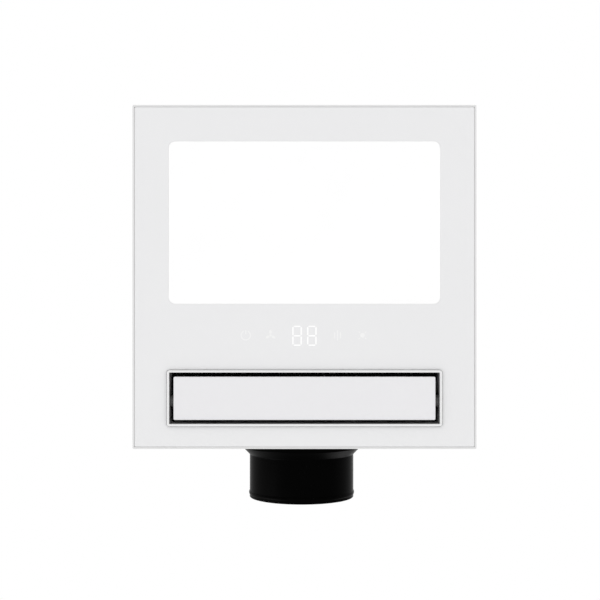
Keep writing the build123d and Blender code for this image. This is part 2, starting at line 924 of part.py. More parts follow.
def make_hanger_brackets():
    """Four angle brackets on the side walls, each with one hole for a hanging screw."""
    brackets = []
    for side in (-1, 1):
        for at_y in (-bracket_span_y, bracket_span_y):
            x0 = case_half
            x1 = case_half + bracket_sheet
            upright = block(x0, x1, -bracket_width / 2, bracket_width / 2, bracket_z,
                            bracket_z + bracket_height)
            shelf = block(x0, x0 + bracket_reach, -bracket_width / 2, bracket_width / 2, bracket_z,
                          bracket_z + bracket_sheet)
            bracket = upright + shelf
            bracket -= rod_z(hanger_hole_radius, bracket_z - 1, bracket_z + 3, hanger_hole_x, 0)
            turn = 0 if side > 0 else 180
            brackets.append(Rot(0, 0, turn) * Pos(0, side * at_y, 0) * bracket)
    return brackets


# Warm-air outlet

def make_outlet_trim():
    """A raised frame on the face with a sleeve up through the panel, which carries the blade."""
    low = face_z - trim_proud
    flange = slab(0, outlet_y, trim_width, trim_length, low, face_z, trim_corner)
    flange = chamfer(flange.edges().group_by(Axis.Z)[0], trim_proud * 0.7)
    sleeve = slab(0, outlet_y, 2 * sleeve_half_x, 2 * sleeve_half_y, face_z, trim_top_z)
    trim = flange + sleeve
    trim -= slab(0, outlet_y, opening_width, opening_length, low - 1, trim_top_z + 1)
    neck = boss_radius - boss_shoulder
    trim -= rod_x(neck + running_gap, -sleeve_half_x - 1, sleeve_half_x + 1, louvre_y, louvre_z)
    return trim


def make_louvre_bushes():
    """A grey bush in each end wall of the sleeve, with a broad collar inside."""
    bushes = []
    wall = opening_width / 2
    collar = blade_width / 2 + moving_gap
    for side in (-1, 1):
        low, high = sorted((side * collar, side * wall))
        bush = rod_x(boss_radius, low, high, louvre_y, louvre_z)
        low, high = sorted((side * wall, side * sleeve_half_x))
        bush += rod_x(boss_radius - boss_shoulder, low, high, louvre_y, louvre_z)
        bore = stub_radius + running_gap
        bushes.append(bush - rod_x(bore, -sleeve_half_x - 1, sleeve_half_x + 1, louvre_y, louvre_z))
    return bushes


def make_louvre_blade():
    """The outlet's blade: a flat plate with two low ribs, and an ear and a stub at each end."""
    top = blade_z + blade_thickness
    blade = slab(0, outlet_y, blade_width, blade_length, blade_z, top, blade_corner)
    ear_inner = blade_width / 2 - blade_ear
    for side in (-1, 1):
        rib_y = outlet_y + side * blade_rib_y
        blade += slab(0, rib_y, blade_width - 2 * blade_rib_inset, blade_rib_width, top, top + blade_rib)
        low, high = sorted((side * blade_width / 2, side * ear_inner))
        blade += block(low, high, louvre_y - blade_ear_half, louvre_y + blade_ear_half, top, louvre_z)
        blade += rod_x(blade_ear_half, low, high, louvre_y, louvre_z)
        low, high = sorted((side * ear_inner, side * (sleeve_half_x - moving_gap)))
        blade += rod_x(stub_radius, low, high, louvre_y, louvre_z)
    socket = drive_radius + running_gap
    return blade - rod_x(socket, ear_inner + drive_insert, sleeve_half_x + 1, louvre_y, louvre_z)


def gear_motor(radius, x0, y, z, offset_y, offset_z, bore):
    """A small round geared motor whose shaft turns in a bore beside its middle."""
    x1 = x0 + gear_motor_length
    case = rod_x(radius, x0, x1, y + offset_y, z + offset_z)
    ear_end = radius + gear_ear_reach
    ears = block(x0, x0 + gear_ear_thickness, -gear_ear_width / 2, gear_ear_width / 2, -ear_end, ear_end)
    tilt = math.degrees(math.atan2(offset_z, offset_y))
    case += Pos(0, y + offset_y, z + offset_z) * Rot(tilt, 0, 0) * ears
    case += rod_x(radius * gear_cap_share, x1, x1 + gear_cap, y + offset_y, z + offset_z)
    return case - rod_x(bore, x0 - 1, x0 + drive_depth + 0.5, y, z)


def make_louvre_motor():
    """The geared motor that turns the blade."""
    x0 = duct_half_x + duct_wall
    bore = drive_radius + running_gap
    return gear_motor(louvre_motor_radius, x0, louvre_y, louvre_z, 0.0, gear_motor_offset, bore)


def make_louvre_drive_shaft():
    """The motor's output shaft, pushed into the blade's hollow stub."""
    x0 = blade_width / 2 - blade_ear + drive_insert
    x1 = duct_half_x + duct_wall + drive_depth
    return rod_x(drive_radius, x0, x1, louvre_y, louvre_z)


def make_outlet_duct():
    """A straight sheet duct from the face plate up to the changeover chamber."""
    outer_x = duct_half_x + duct_wall
    outer_y = duct_half_y + duct_wall
    duct = frame_ring(0, outlet_y, outer_x, outer_y, duct_half_x, duct_half_y, face_back_z, duct_top_z)
    flange = block(-outer_x, outer_x, chamber_front_y, outlet_y + outer_y + duct_flange,
                   duct_top_z - duct_wall, duct_top_z)
    duct += flange - slab(0, outlet_y, 2 * duct_half_x, 2 * duct_half_y, 0, duct_top_z + 1)
    hole = stub_radius + duct_shaft_gap
    duct -= rod_x(hole, duct_half_x - 1, outer_x + 1, louvre_y, louvre_z)
    duct -= block(-outer_x - 1, -duct_half_x + 1, outlet_y - duct_slot_half, outlet_y + duct_slot_half,
                  ptc_z + duct_slot_low, ptc_z + duct_slot_high)
    for x in duct_screw_xs():
        duct -= hole_z(duct_top_z - duct_wall, duct_top_z, x, duct_screw_y())
    return duct


def duct_screw_xs():
    """Three places along the duct's back flange, clear of the fan's mouth."""
    at = duct_half_x - duct_screw_inset
    return (-at, fan_x, at)


def duct_screw_y():
    """The line of screws along the duct's back flange."""
    return outlet_y + duct_half_y + duct_wall + duct_flange - screw_head_radius - duct_screw_edge


def make_duct_screws():
    """Three screws down through the chamber's floor into the duct's flange."""
    length = chamber_wall + duct_wall + screw_point
    return [screw_down(x, duct_screw_y(), chamber_floor_z, length) for x in duct_screw_xs()]


def make_outlet_guard():
    """A welded wire grille under the heater, in a flat frame."""
    half_x = duct_half_x - ptc_fit
    half_y = duct_half_y - ptc_fit
    band_x = half_x - guard_band
    band_y = half_y - guard_band
    guard = frame_ring(0, outlet_y, half_x, half_y, band_x, band_y, guard_z, ptc_z)
    wire = guard_wire / 2
    middle = guard_z + wire
    for index in range(guard_long_wires):
        y = outlet_y - half_y + 2 * half_y * (index + 1) / (guard_long_wires + 1)
        guard += block(-half_x + 1, half_x - 1, y - wire / 2, y + wire / 2, guard_z, middle)
    for index in range(guard_cross_wires):
        x = -half_x + 2 * half_x * (index + 1) / (guard_cross_wires + 1)
        guard += block(x - wire / 2, x + wire / 2, outlet_y - half_y + 1, outlet_y + half_y - 1,
                       guard_z, ptc_z)
    return guard


def ptc_halves():
    """Half sizes of the heater's frame and of the space inside it."""
    half_x = duct_half_x - ptc_fit
    half_y = duct_half_y - ptc_fit
    return half_x, half_y, half_x - ptc_cap, half_y - ptc_rail


def make_ptc_frame():
    """The heater's heat-proof frame: two rails and two end caps."""
    half_x, half_y, inner_x, inner_y = ptc_halves()
    return frame_ring(0, outlet_y, half_x, half_y, inner_x, inner_y, ptc_z, duct_top_z)


def ptc_rows():
    """The heater's rows across Y: the bars' middles, and the two faces of each fin row."""
    inner_y = ptc_halves()[3]
    fin = (2 * inner_y - ptc_bars_count * ptc_bar) / (ptc_bars_count + 1)
    start = outlet_y - inner_y
    bars = [start + fin + ptc_bar / 2 + index * (fin + ptc_bar) for index in range(ptc_bars_count)]
    fins = [start + index * (fin + ptc_bar) for index in range(ptc_bars_count + 1)]
    return bars, [(low, low + fin) for low in fins]


def core_span():
    """The lowest and highest faces of the heater's bars and fins."""
    low = ptc_z + (ptc_height - ptc_core_height) / 2
    return low, low + ptc_core_height


def make_ptc_bars():
    """Flat aluminium tubes that hold the ceramic stones."""
    inner_x = ptc_halves()[2]
    z0, z1 = core_span()
    return [slab(0, y, 2 * inner_x, ptc_bar, z0, z1) for y in ptc_rows()[0]]


def corrugation(x0, x1, y0, y1):
    """The outline of one folded fin strip between two bars."""
    folds = 2 * int((x1 - x0) / fin_pitch)
    step = (x1 - x0) / folds
    rise = fin_thickness * math.hypot(step, y1 - y0) / step
    there = [(x0 + index * step, y1 - rise if index % 2 else y0) for index in range(folds + 1)]
    back = [(x, y + rise) for x, y in reversed(there)]
    return make_face(Polyline(*there, *back, close=True))


def make_ptc_fins():
    """Folded aluminium strips between the bars, which warm the air."""
    inner_x = ptc_halves()[2]
    z0, z1 = core_span()
    rows = []
    for y0, y1 in ptc_rows()[1]:
        rows.append(Pos(0, 0, z0) * extrude(corrugation(-inner_x, inner_x, y0, y1), z1 - z0))
    return rows


def make_ptc_terminals():
    """Three flat blades out of the heater's end cap, through the duct's side."""
    half_x = ptc_halves()[0]
    blades = []
    for index in (-1, 0, 1):
        y = outlet_y + index * terminal_pitch
        z = ptc_z + ptc_height / 2 - terminal_thickness / 2
        blades.append(block(-half_x - terminal_length, -half_x, y - terminal_width / 2,
                            y + terminal_width / 2, z, z + terminal_thickness))
    return blades


def make_thermal_cutout():
    """A round cut-out switch on the duct's warm side, with two terminals."""
    x = cutout_x
    wall = outlet_y + duct_half_y + duct_wall
    z = ptc_z + cutout_rise
    front = wall + cutout_flange
    back = front + cutout_depth
    switch = rod_y(cutout_flange_radius, wall, front, x, z) + rod_y(cutout_radius, front, back, x, z)
    for side in (-1, 1):
        blade_x = x + side * cutout_radius / 2
        switch += block(blade_x - cutout_blade / 2, blade_x + cutout_blade / 2, back,
                        back + cutout_blade_length, z - terminal_thickness / 2, z + terminal_thickness / 2)
    return switch


# Changeover chamber

def make_damper_housing():
    """A box over the heater's duct with ways in from the fan and out to the spigot."""
    floor_x = duct_half_x + duct_wall
    floor_back = outlet_y + duct_half_y + duct_wall + duct_flange
    box = block(-chamber_end, chamber_end, chamber_front_y, chamber_back_y, duct_top_z,
                chamber_top_z + chamber_wall)
    box += block(-floor_x, floor_x, chamber_front_y, floor_back, duct_top_z, chamber_floor_z)
    box -= block(-chamber_half_width, chamber_half_width, chamber_front_inner_y, chamber_back_inner_y,
                 chamber_floor_z, chamber_top_z)
    inner_x = ptc_halves()[2]
    inner_y = duct_half_y
    seat_x = inner_x + seat_wall
    seat_y = inner_y + seat_wall
    seat_top = chamber_floor_z + seat_height
    box += frame_ring(0, outlet_y, seat_x, seat_y, inner_x, inner_y, chamber_floor_z, seat_top)
    box -= slab(0, outlet_y, 2 * inner_x, 2 * inner_y, duct_top_z - 1, chamber_floor_z + 1)
    half = spigot_window_width / 2 + seat_wall
    seat_front = chamber_front_inner_y + seat_height
    box += block(spigot_x - half, spigot_x + half, chamber_front_inner_y, seat_front,
                 spigot_window_z0 - seat_wall, spigot_window_z1 + seat_wall)
    box -= spigot_window(chamber_front_y - 1, seat_front + 1)
    mouth_x0, mouth_x1 = volute_mouth()
    box -= block(mouth_x0, mouth_x1, chamber_back_inner_y - 1, chamber_back_y + 1,
                 flap_z + flap_half_thickness + mouth_lift, volute_top_z)
    box -= rod_x(bush_radius, -chamber_end - 1, chamber_end + 1, flap_y, flap_z)
    for x in duct_screw_xs():
        box -= hole_z(duct_top_z, chamber_floor_z, x, duct_screw_y())
    return box


def make_damper_flap():
    """The changeover flap, a flat plate with a rolled edge round its shaft."""
    half = chamber_half_width - flap_side_gap - flap_seal_wrap
    plate = block(-half, half, flap_y, flap_y + flap_length - flap_seal_wrap, flap_z - flap_thickness / 2,
                  flap_z + flap_thickness / 2)
    for step in (-1, 0, 1):
        x = step * flap_rib_pitch
        plate += block(x - flap_rib_width / 2, x + flap_rib_width / 2, flap_y + flap_rib_start,
                       flap_y + flap_length - flap_rib_end, flap_z, flap_z + flap_rib_height)
    plate += rod_x(flap_shaft_radius + flap_barrel_wall, -half, half, flap_y, flap_z)
    return plate - rod_x(flap_shaft_radius, -half - 1, half + 1, flap_y, flap_z)


def make_damper_seal():
    """A rubber edge that wraps the flap and closes on both seats."""
    half = chamber_half_width - flap_side_gap
    y0 = flap_y + flap_shaft_radius + flap_seal_start
    y1 = flap_y + flap_length
    low = flap_z - flap_half_thickness
    high = flap_z + flap_half_thickness
    ring = block(-half, half, y0, y1, low, high)
    width = flap_seal_width
    ring -= block(-half + width, half - width, y0 + width, y1 - width, low - 1, high + 1)
    return ring - make_damper_flap()


def make_damper_shaft():
    """The flap's steel shaft, which reaches through both bushes into the motor."""
    x1 = damper_motor_x() + drive_depth
    return rod_x(flap_shaft_radius, -chamber_end - bush_flange, x1, flap_y, flap_z)


def make_damper_bushes():
    """A flanged bush in each end wall of the chamber."""
    bushes = []
    for side in (-1, 1):
        low, high = sorted((side * chamber_half_width, side * chamber_end))
        bush = rod_x(bush_radius, low, high, flap_y, flap_z)
        low, high = sorted((side * chamber_end, side * (chamber_end + bush_flange)))
        bush += rod_x(bush_flange_radius, low, high, flap_y, flap_z)
        bore = flap_shaft_radius + running_gap
        bushes.append(bush - rod_x(bore, -case_half, case_half, flap_y, flap_z))
    return bushes


def damper_motor_x():
    """The mounting face of the flap's motor, clear of the duct's edge."""
    return duct_half_x + duct_wall + moving_gap


def make_damper_motor():
    """The geared motor that swings the flap, with a sleeve against the bush and a foot on the wall."""
    x0 = damper_motor_x()
    bore = flap_shaft_radius + running_gap
    motor = gear_motor(damper_motor_radius, x0, flap_y, flap_z, gear_motor_offset, 0.0, bore)
    sleeve_x0 = chamber_end + bush_flange
    sleeve = rod_x(bush_flange_radius, sleeve_x0, x0, flap_y, flap_z)
    foot_y = flap_y + gear_motor_offset
    foot_z = flap_z + damper_motor_radius + motor_foot_offset
    motor += rod_x(motor_foot_radius, chamber_end, x0 + motor_foot_depth, foot_y, foot_z)
    return motor + sleeve - rod_x(bore, sleeve_x0 - 1, x0 + 1, flap_y, flap_z)


# Fan

def scroll_outline(growth, mouth_y):
    """The fan scroll: four arcs whose radii step up, then a straight way to the mouth."""
    step = scroll_offset
    tongue_r = scroll_radius - scroll_step
    tongue_x = step + tongue_r * math.cos(math.radians(tongue_angle)) + growth
    radius = tongue_r + growth
    tongue_y = -step - math.sqrt(radius ** 2 - (tongue_x - step) ** 2)
    start = math.degrees(math.atan2(tongue_y + step, tongue_x - step))
    arcs = [CenterArc((step, -step), radius, start, -90 - start)]
    centres = ((step, step), (-step, step), (-step, -step))
    for index, centre in enumerate(centres):
        grown = scroll_radius + index * scroll_step + growth
        arcs.append(CenterArc(centre, grown, -90 + 90 * index, 90))
    left = -step - (scroll_radius + 2 * scroll_step + growth)
    outlet = Polyline((left, -step), (left, mouth_y), (tongue_x, mouth_y), (tongue_x, tongue_y))
    return Pos(fan_x, fan_y) * make_face(Wire(Curve(children=arcs + [outlet]).edges()))


def volute_mouth():
    """The two side faces of the fan's mouth."""
    tongue_r = scroll_radius - scroll_step
    right = fan_x + scroll_offset + tongue_r * math.cos(math.radians(tongue_angle))
    left = fan_x - scroll_offset - (scroll_radius + 2 * scroll_step)
    return left, right


def fan_screw_points():
    """The four places where the fan is screwed to its rails, just outside the scroll."""
    reach = volute_wall + screw_head_radius + fan_screw_gap
    left = volute_mouth()[0] - reach
    right = fan_x + scroll_offset + scroll_radius + reach
    return [(x, y) for x in (left, right) for y in (rail_front_y, rail_back_y)]


def make_volute_shell():
    """The lower half of the fan's casing: floor, scroll wall, inlet hole and mounting bars."""
    mouth_y = chamber_back_y - fan_y
    shell = Pos(0, 0, volute_floor_z) * extrude(scroll_outline(volute_wall, mouth_y),
                                                volute_height + volute_wall)
    cavity = Pos(0, 0, volute_inner_z) * extrude(scroll_outline(0.0, mouth_y - 5), volute_height + 5)
    screw_xs = [x for x, y in fan_screw_points()]
    for y in (rail_front_y, rail_back_y):
        shell += block(min(screw_xs) - fan_bar_end, max(screw_xs) + fan_bar_end, y - rail_width / 2,
                       y + rail_width / 2, volute_floor_z, volute_inner_z)
    shell -= cavity
    hole = inlet_radius + inlet_wall + inlet_gap
    shell -= rod_z(hole, volute_floor_z - 1, volute_inner_z + 1, fan_x, fan_y)
    for x, y in fan_screw_points():
        shell -= hole_z(volute_floor_z, volute_inner_z, x, y)
    return shell


def make_volute_cover():
    """The flat top of the fan's casing, with a hole for the motor's shaft."""
    mouth_y = chamber_back_y - fan_y
    outline = scroll_outline(volute_wall, mouth_y)
    cover = Pos(0, 0, volute_top_z) * extrude(outline, volute_wall)
    cover -= rod_z(hub_radius + hub_hole_gap, volute_top_z - 1, cover_top_z + 1, fan_x, fan_y)
    for x, y in motor_lug_points():
        cover -= hole_z(volute_top_z, cover_top_z, x, y)
    return cover


def make_inlet_ring():
    """A bell-mouthed ring in the floor of the casing that leads the air into the wheel."""
    low = volute_floor_z - inlet_drop
    lip_top = wheel_z0 - inlet_lip_gap
    flare = inlet_radius + bell_flare
    bell_place = Pos(fan_x, fan_y, low + bell_height / 2)
    ring = rod_z(inlet_flange_radius, volute_floor_z - inlet_flange, volute_floor_z, fan_x, fan_y)
    ring += rod_z(inlet_radius + inlet_wall, low, lip_top, fan_x, fan_y)
    ring += bell_place * Cone(flare + inlet_wall, inlet_radius + inlet_wall, bell_height)
    ring -= rod_z(inlet_radius, low - 1, lip_top + 1, fan_x, fan_y)
    return ring - bell_place * Cone(flare, inlet_radius, bell_height)


def wheel_blade():
    """One curved blade of the fan wheel, seen along the axis."""
    inner = wheel_inner_radius
    outer = wheel_radius - wheel_blade_thickness / 2
    middle = (inner + outer) / 2
    points = []
    for radius, angle in ((inner, 0.0), (middle, wheel_blade_lead / 4), (outer, wheel_blade_lead)):
        turn = math.radians(angle)
        points.append((radius * math.cos(turn), radius * math.sin(turn)))
    return trace(ThreePointArc(*points), wheel_blade_thickness)


def make_impeller():
    """The fan wheel: a back plate and hub, curved blades, and a ring round the inlet."""
    plate_z = wheel_z1 - wheel_plate
    wheel = rod_z(wheel_radius, plate_z, wheel_z1, 0, 0)
    wheel += rod_z(hub_radius, wheel_z1 - hub_height, wheel_z1, 0, 0)
    ring_z1 = wheel_z0 + wheel_ring_height
    ring = rod_z(wheel_radius, wheel_z0, ring_z1, 0, 0)
    ring_inner = wheel_inner_radius + wheel_ring_overlap
    wheel += ring - rod_z(ring_inner, wheel_z0 - 1, ring_z1 + 1, 0, 0)
    blade = Pos(0, 0, wheel_z0) * extrude(wheel_blade(), wheel_height - wheel_plate / 4)
    wheel += [Rot(0, 0, 360.0 * index / wheel_blades) * blade for index in range(wheel_blades)]
    wheel -= rod_z(shaft_radius, wheel_z0, wheel_z1 + 1, 0, 0)
    return Pos(fan_x, fan_y, 0) * wheel


def make_impeller_nut():
    """The nut that holds the wheel on its shaft."""
    z1 = wheel_z1 - hub_height
    nut = hex_z(nut_radius, z1 - nut_height, z1, fan_x, fan_y)
    return nut - rod_z(shaft_radius, z1 - nut_height - 1, z1 + 1, fan_x, fan_y)


def make_motor_rotor():
    """The motor's rotor with its steel shaft, which carries the wheel."""
    z0 = wheel_z1 - hub_height - nut_height - shaft_tail
    shaft = rod_z(shaft_radius, z0, motor_z1 - motor_wall - moving_gap, fan_x, fan_y)
    middle = (motor_z0 + motor_z1) / 2
    half = rotor_height / 2
    return shaft + rod_z(rotor_radius, middle - half, middle + half, fan_x, fan_y)


def motor_lug_points():
    """Four places round the motor."""
    return [(fan_x + lug_circle * math.cos(math.radians(45 + 90 * index)),
             fan_y + lug_circle * math.sin(math.radians(45 + 90 * index))) for index in range(4)]


def make_motor_case():
    """The motor's pressed can, with cooling holes, a bearing seat at each end and four lugs."""
    case = rod_z(motor_radius, motor_z0, motor_z1, fan_x, fan_y)
    case = fillet(case.edges().filter_by(GeomType.CIRCLE), motor_round)
    case -= rod_z(motor_radius - motor_wall, motor_z0 + motor_wall, motor_z1 - motor_wall, fan_x, fan_y)
    for z0 in (motor_z0, motor_z1 - bearing_height - motor_wall):
        case += rod_z(bearing_radius + motor_wall, z0, z0 + bearing_height + motor_wall, fan_x, fan_y)
    for z0 in (motor_z0 + motor_wall, motor_z1 - motor_wall - bearing_height):
        case -= rod_z(bearing_radius, z0, z0 + bearing_height, fan_x, fan_y)
    case -= rod_z(shaft_radius + shaft_clearance, motor_z0 - 1, motor_z1 - motor_wall, fan_x, fan_y)
    vent_z = motor_z0 + motor_height * motor_vent_share
    vent = rod_x(motor_vent_radius, motor_radius - 2 * motor_wall, motor_radius + 1, 0, vent_z)
    for index in range(motor_vents):
        case -= Pos(fan_x, fan_y) * Rot(0, 0, 360 * (index + 0.5) / motor_vents) * vent
    for x, y in motor_lug_points():
        reach = slab(0, 0, lug_arm_length, lug_arm_width, motor_z0, motor_z0 + motor_wall)
        angle = math.degrees(math.atan2(y - fan_y, x - fan_x))
        arm = Pos(fan_x, fan_y) * Rot(0, 0, angle) * Pos(lug_circle - lug_arm_length / 2, 0) * reach
        case += arm + rod_z(lug_radius, motor_z0, motor_z0 + motor_wall, x, y)
        case -= hole_z(motor_z0, motor_z0 + motor_wall, x, y)
    return case


def make_motor_stator():
    """The ring of iron and copper round the rotor."""
    middle = (motor_z0 + motor_z1) / 2
    half = rotor_height / 2
    outer = motor_radius - motor_wall - stator_gap
    ring = rod_z(outer, middle - half, middle + half, fan_x, fan_y)
    return ring - rod_z(rotor_radius + rotor_gap, middle - half - 1, middle + half + 1, fan_x, fan_y)


def make_motor_bearings():
    """Two ball bearings, one in each end of the can."""
    bearings = []
    for z0 in (motor_z0 + motor_wall, motor_z1 - motor_wall - bearing_height):
        bearing = rod_z(bearing_radius, z0, z0 + bearing_height, fan_x, fan_y)
        bore = shaft_radius + running_gap
        bearings.append(bearing - rod_z(bore, z0 - 1, z0 + bearing_height + 1, fan_x, fan_y))
    return bearings


def make_motor_grommets():
    """Four rubber rings between the motor's lugs and the fan's cover."""
    rings = []
    for x, y in motor_lug_points():
        ring = rod_z(lug_radius, cover_top_z, motor_z0, x, y)
        rings.append(ring - hole_z(cover_top_z, motor_z0, x, y))
    return rings


def make_motor_screws():
    """Four screws through the lugs, the rubber rings and the cover."""
    seat_z = motor_z0 + motor_wall
    return [screw_down(x, y, seat_z, seat_z - volute_top_z) for x, y in motor_lug_points()]


def make_capacitor():
    """The motor's run capacitor, a small box on the fan's cover."""
    x = fan_x - capacitor_x
    y = fan_y + capacitor_y
    top = cover_top_z + capacitor_height
    body = slab(x, y, capacitor_width, capacitor_length, cover_top_z, top, capacitor_corner)
    foot_width = capacitor_width - capacitor_foot_inset
    foot_length = capacitor_length + 2 * capacitor_foot_reach
    return body + slab(x, y, foot_width, foot_length, cover_top_z, cover_top_z + capacitor_foot)


def make_fan_rails():
    """Two folded rails across the case, which carry the fan."""
    rails = []
    for y in (rail_front_y, rail_back_y):
        z1 = volute_floor_z
        z0 = z1 - rail_sheet
        rail = slab(0, y, 2 * case_inner, rail_width, z0, z1)
        for side in (-1, 1):
            low, high = sorted((side * case_inner, side * (case_inner - rail_sheet)))
            rail += block(low, high, y - rail_width / 2, y + rail_width / 2, z0 - rail_upturn, z1)
        for x, screw_y in fan_screw_points():
            if screw_y == y:
                rail -= hole_z(z0, z1, x, y)
        rails.append(rail)
    return rails


def make_fan_screws():
    """Four screws down through the casing's bars into the rails."""
    length = volute_wall + rail_sheet + screw_point
    return [screw_down(x, y, volute_inner_z, length) for x, y in fan_screw_points()]


# Round duct spigot

def spigot_screw_points():
    """The four corners of the spigot's flange, as X and Z."""
    at = spigot_flange / 2 - spigot_screw_inset
    return corners(at, at, spigot_x, spigot_z)


def make_duct_spigot():
    """A square flange, a shoulder, a cone and a round tube with a bead near its end."""
    flange_back = -gasket_y
    flange_front = -spigot_flange_y
    bead_half = bead_width / 2
    bead = spigot_radius + bead_proud
    outer = [(0, flange_back), (shoulder_radius, flange_back), (shoulder_radius, shoulder_end),
             (spigot_radius, cone_end), (spigot_radius, bead_at - bead_half - bead_proud),
             (bead, bead_at - bead_half), (bead, bead_at + bead_half),
             (spigot_radius, bead_at + bead_half + bead_proud), (spigot_radius, spigot_end),
             (0, spigot_end)]
    inner = [(0, flange_back - 1), (shoulder_bore, flange_back - 1), (shoulder_bore, shoulder_end),
             (spigot_bore, cone_end), (spigot_bore, spigot_end + 1), (0, spigot_end + 1)]
    outer_face = Plane.XY * make_face(Polyline(*outer, close=True))
    inner_face = Plane.XY * make_face(Polyline(*inner, close=True))
    body = revolve(outer_face, Axis.Y, 360)
    plate = block(-spigot_flange / 2, spigot_flange / 2, flange_back, flange_front,
                  -spigot_flange / 2, spigot_flange / 2)
    plate = fillet(plate.edges().filter_by(Axis.Y), spigot_flange_corner)
    body += plate
    body -= revolve(inner_face, Axis.Y, 360)
    body = Pos(spigot_x, 0, spigot_z) * mirror(body, Plane.XZ)
    body += check_seats()
    for x, z in spigot_screw_points():
        body -= rod_y(screw_hole_radius, spigot_flange_y - 1, gasket_y + 1, x, z)
    pin = check_pin_radius + running_gap
    reach = pin_half_length() + moving_gap
    return body - rod_x(pin, spigot_x - reach, spigot_x + reach, check_flap_y, check_hinge_z)


def pin_half_length():
    """Half the gravity flap's pin, which ends inside the tube's wall."""
    inside = math.sqrt(spigot_bore ** 2 - check_hinge_rise ** 2)
    return inside + check_pin_depth - moving_gap


def check_seats():
    """Two part rings in the tube: the flap's lower edge rests on one, its upper edge on the other."""
    gap = check_flap_thickness / 2 + moving_gap
    ring_inner = spigot_bore - check_seat
    clear = check_barrel_radius + check_edge_gap
    seats = None
    for low, high, z0, z1 in (
            (check_flap_y + gap, check_flap_y + gap + check_seat_thickness, -2 * spigot_bore, -clear),
            (check_flap_y - gap - check_seat_thickness, check_flap_y - gap, clear, 2 * spigot_bore)):
        ring = rod_y(spigot_bore + 0.5, low, high, spigot_x, spigot_z)
        ring -= rod_y(ring_inner, low - 1, high + 1, spigot_x, spigot_z)
        keep = block(spigot_x - spigot_radius, spigot_x + spigot_radius, low - 1, high + 1,
                     check_hinge_z + z0, check_hinge_z + z1)
        ring = ring & keep
        seats = ring if seats is None else seats + ring
    return seats


def make_spigot_gasket():
    """A foam sheet between the spigot's flange and the case."""
    half = spigot_flange / 2
    sheet_block = block(spigot_x - half, spigot_x + half, gasket_y, -case_half, spigot_z - half,
                        spigot_z + half)
    sheet_block -= rod_y(shoulder_bore, gasket_y - 1, -case_half + 1, spigot_x, spigot_z)
    for x, z in spigot_screw_points():
        sheet_block -= rod_y(screw_hole_radius, gasket_y - 1, -case_half + 1, x, z)
    return sheet_block


def make_spigot_screws():
    """Four screws through the flange and the foam into the case."""
    screws = []
    for x, z in spigot_screw_points():
        head = rod_y(screw_head_radius, spigot_flange_y - screw_head, spigot_flange_y, x, z)
        screws.append(head + rod_y(screw_radius, spigot_flange_y, -case_inner - running_gap, x, z))
    return screws


def make_backdraft_flap():
    """A round flap hung off centre, which falls shut when the fan stops."""
    flap = rod_y(check_flap_radius, check_flap_y - check_flap_thickness / 2,
                 check_flap_y + check_flap_thickness / 2, spigot_x, spigot_z)
    rise = check_hinge_rise + check_barrel_radius
    reach = math.sqrt(spigot_bore ** 2 - rise ** 2) - check_edge_gap
    flap += rod_x(check_barrel_radius, spigot_x - reach, spigot_x + reach, check_flap_y, check_hinge_z)
    return flap - rod_x(check_pin_radius, spigot_x - spigot_bore, spigot_x + spigot_bore, check_flap_y,
                        check_hinge_z)


def make_backdraft_pin():
    """The gravity flap's pin, held in the flap and turning in the tube's wall."""
    half = pin_half_length()
    return rod_x(check_pin_radius, spigot_x - half, spigot_x + half, check_flap_y, check_hinge_z)


# Wiring and control

def make_wiring_box():
    """A small cover on the side wall over the mains terminals."""
    x0 = -case_half - wiring_depth
    box = block(x0, -case_half, wiring_y0, wiring_y1, wiring_z0, wiring_z1)
    box = fillet(box.edges().filter_by(Axis.X), wiring_corner)
    inner = block(x0 + wiring_wall, -case_half + 1, wiring_y0 + wiring_wall, wiring_y1 - wiring_wall,
                  wiring_z0 + wiring_wall, wiring_z1 - wiring_wall)
    box -= inner
    hole = gland_bore + gland_wall + screw_hole_gap
    return box - rod_y(hole, wiring_y1 - wiring_wall - 1, wiring_y1 + 1, gland_x(), gland_z)


def gland_x():
    """The cable gland's axis, in the middle of the wiring box's depth."""
    return -case_half - wiring_depth / 2


def make_cable_gland():
    """The cable entry: a neck through the box's wall, a flange, a hexagon and a domed nut."""
    y = wiring_y1
    inner_y = y - wiring_wall - gland_inside
    gland = rod_y(gland_bore + gland_wall, inner_y, y, gland_x(), gland_z)
    nut = extrude(RegularPolygon(gland_radius, 6), gland_nut_length)
    gland += Pos(gland_x(), y + gland_nut_length, gland_z) * Rot(90, 0, 0) * nut
    dome_y0 = y + gland_nut_length
    dome_y1 = dome_y0 + gland_dome_length
    dome = rod_y(gland_radius - gland_dome_step, dome_y0, dome_y1, gland_x(), gland_z)
    far = dome.edges().filter_by(GeomType.CIRCLE).sort_by(Axis.Y)[-1]
    gland += fillet(far, gland_dome_round)
    return gland - rod_y(gland_bore, inner_y - 1, dome_y1 + 1, gland_x(), gland_z)


def make_terminal_block():
    """A three-way mains terminal block on the side wall, inside its box."""
    x1 = -case_half
    x0 = x1 - terminals_depth
    y0 = wiring_y0 + terminals_y
    z0 = wiring_z0 + terminals_z
    middle_z = z0 + terminals_height / 2
    body = block(x0, x1, y0, y0 + terminals_length, z0, z0 + terminals_height)
    for index in range(terminals):
        y = y0 + (index + 0.5) * terminals_pitch
        body -= rod_x(terminal_well_radius, x0 - 1, x0 + terminal_well, y, middle_z)
        body += rod_x(terminal_screw_radius, x0 + 1, x0 + terminal_well, y, middle_z)
    return body


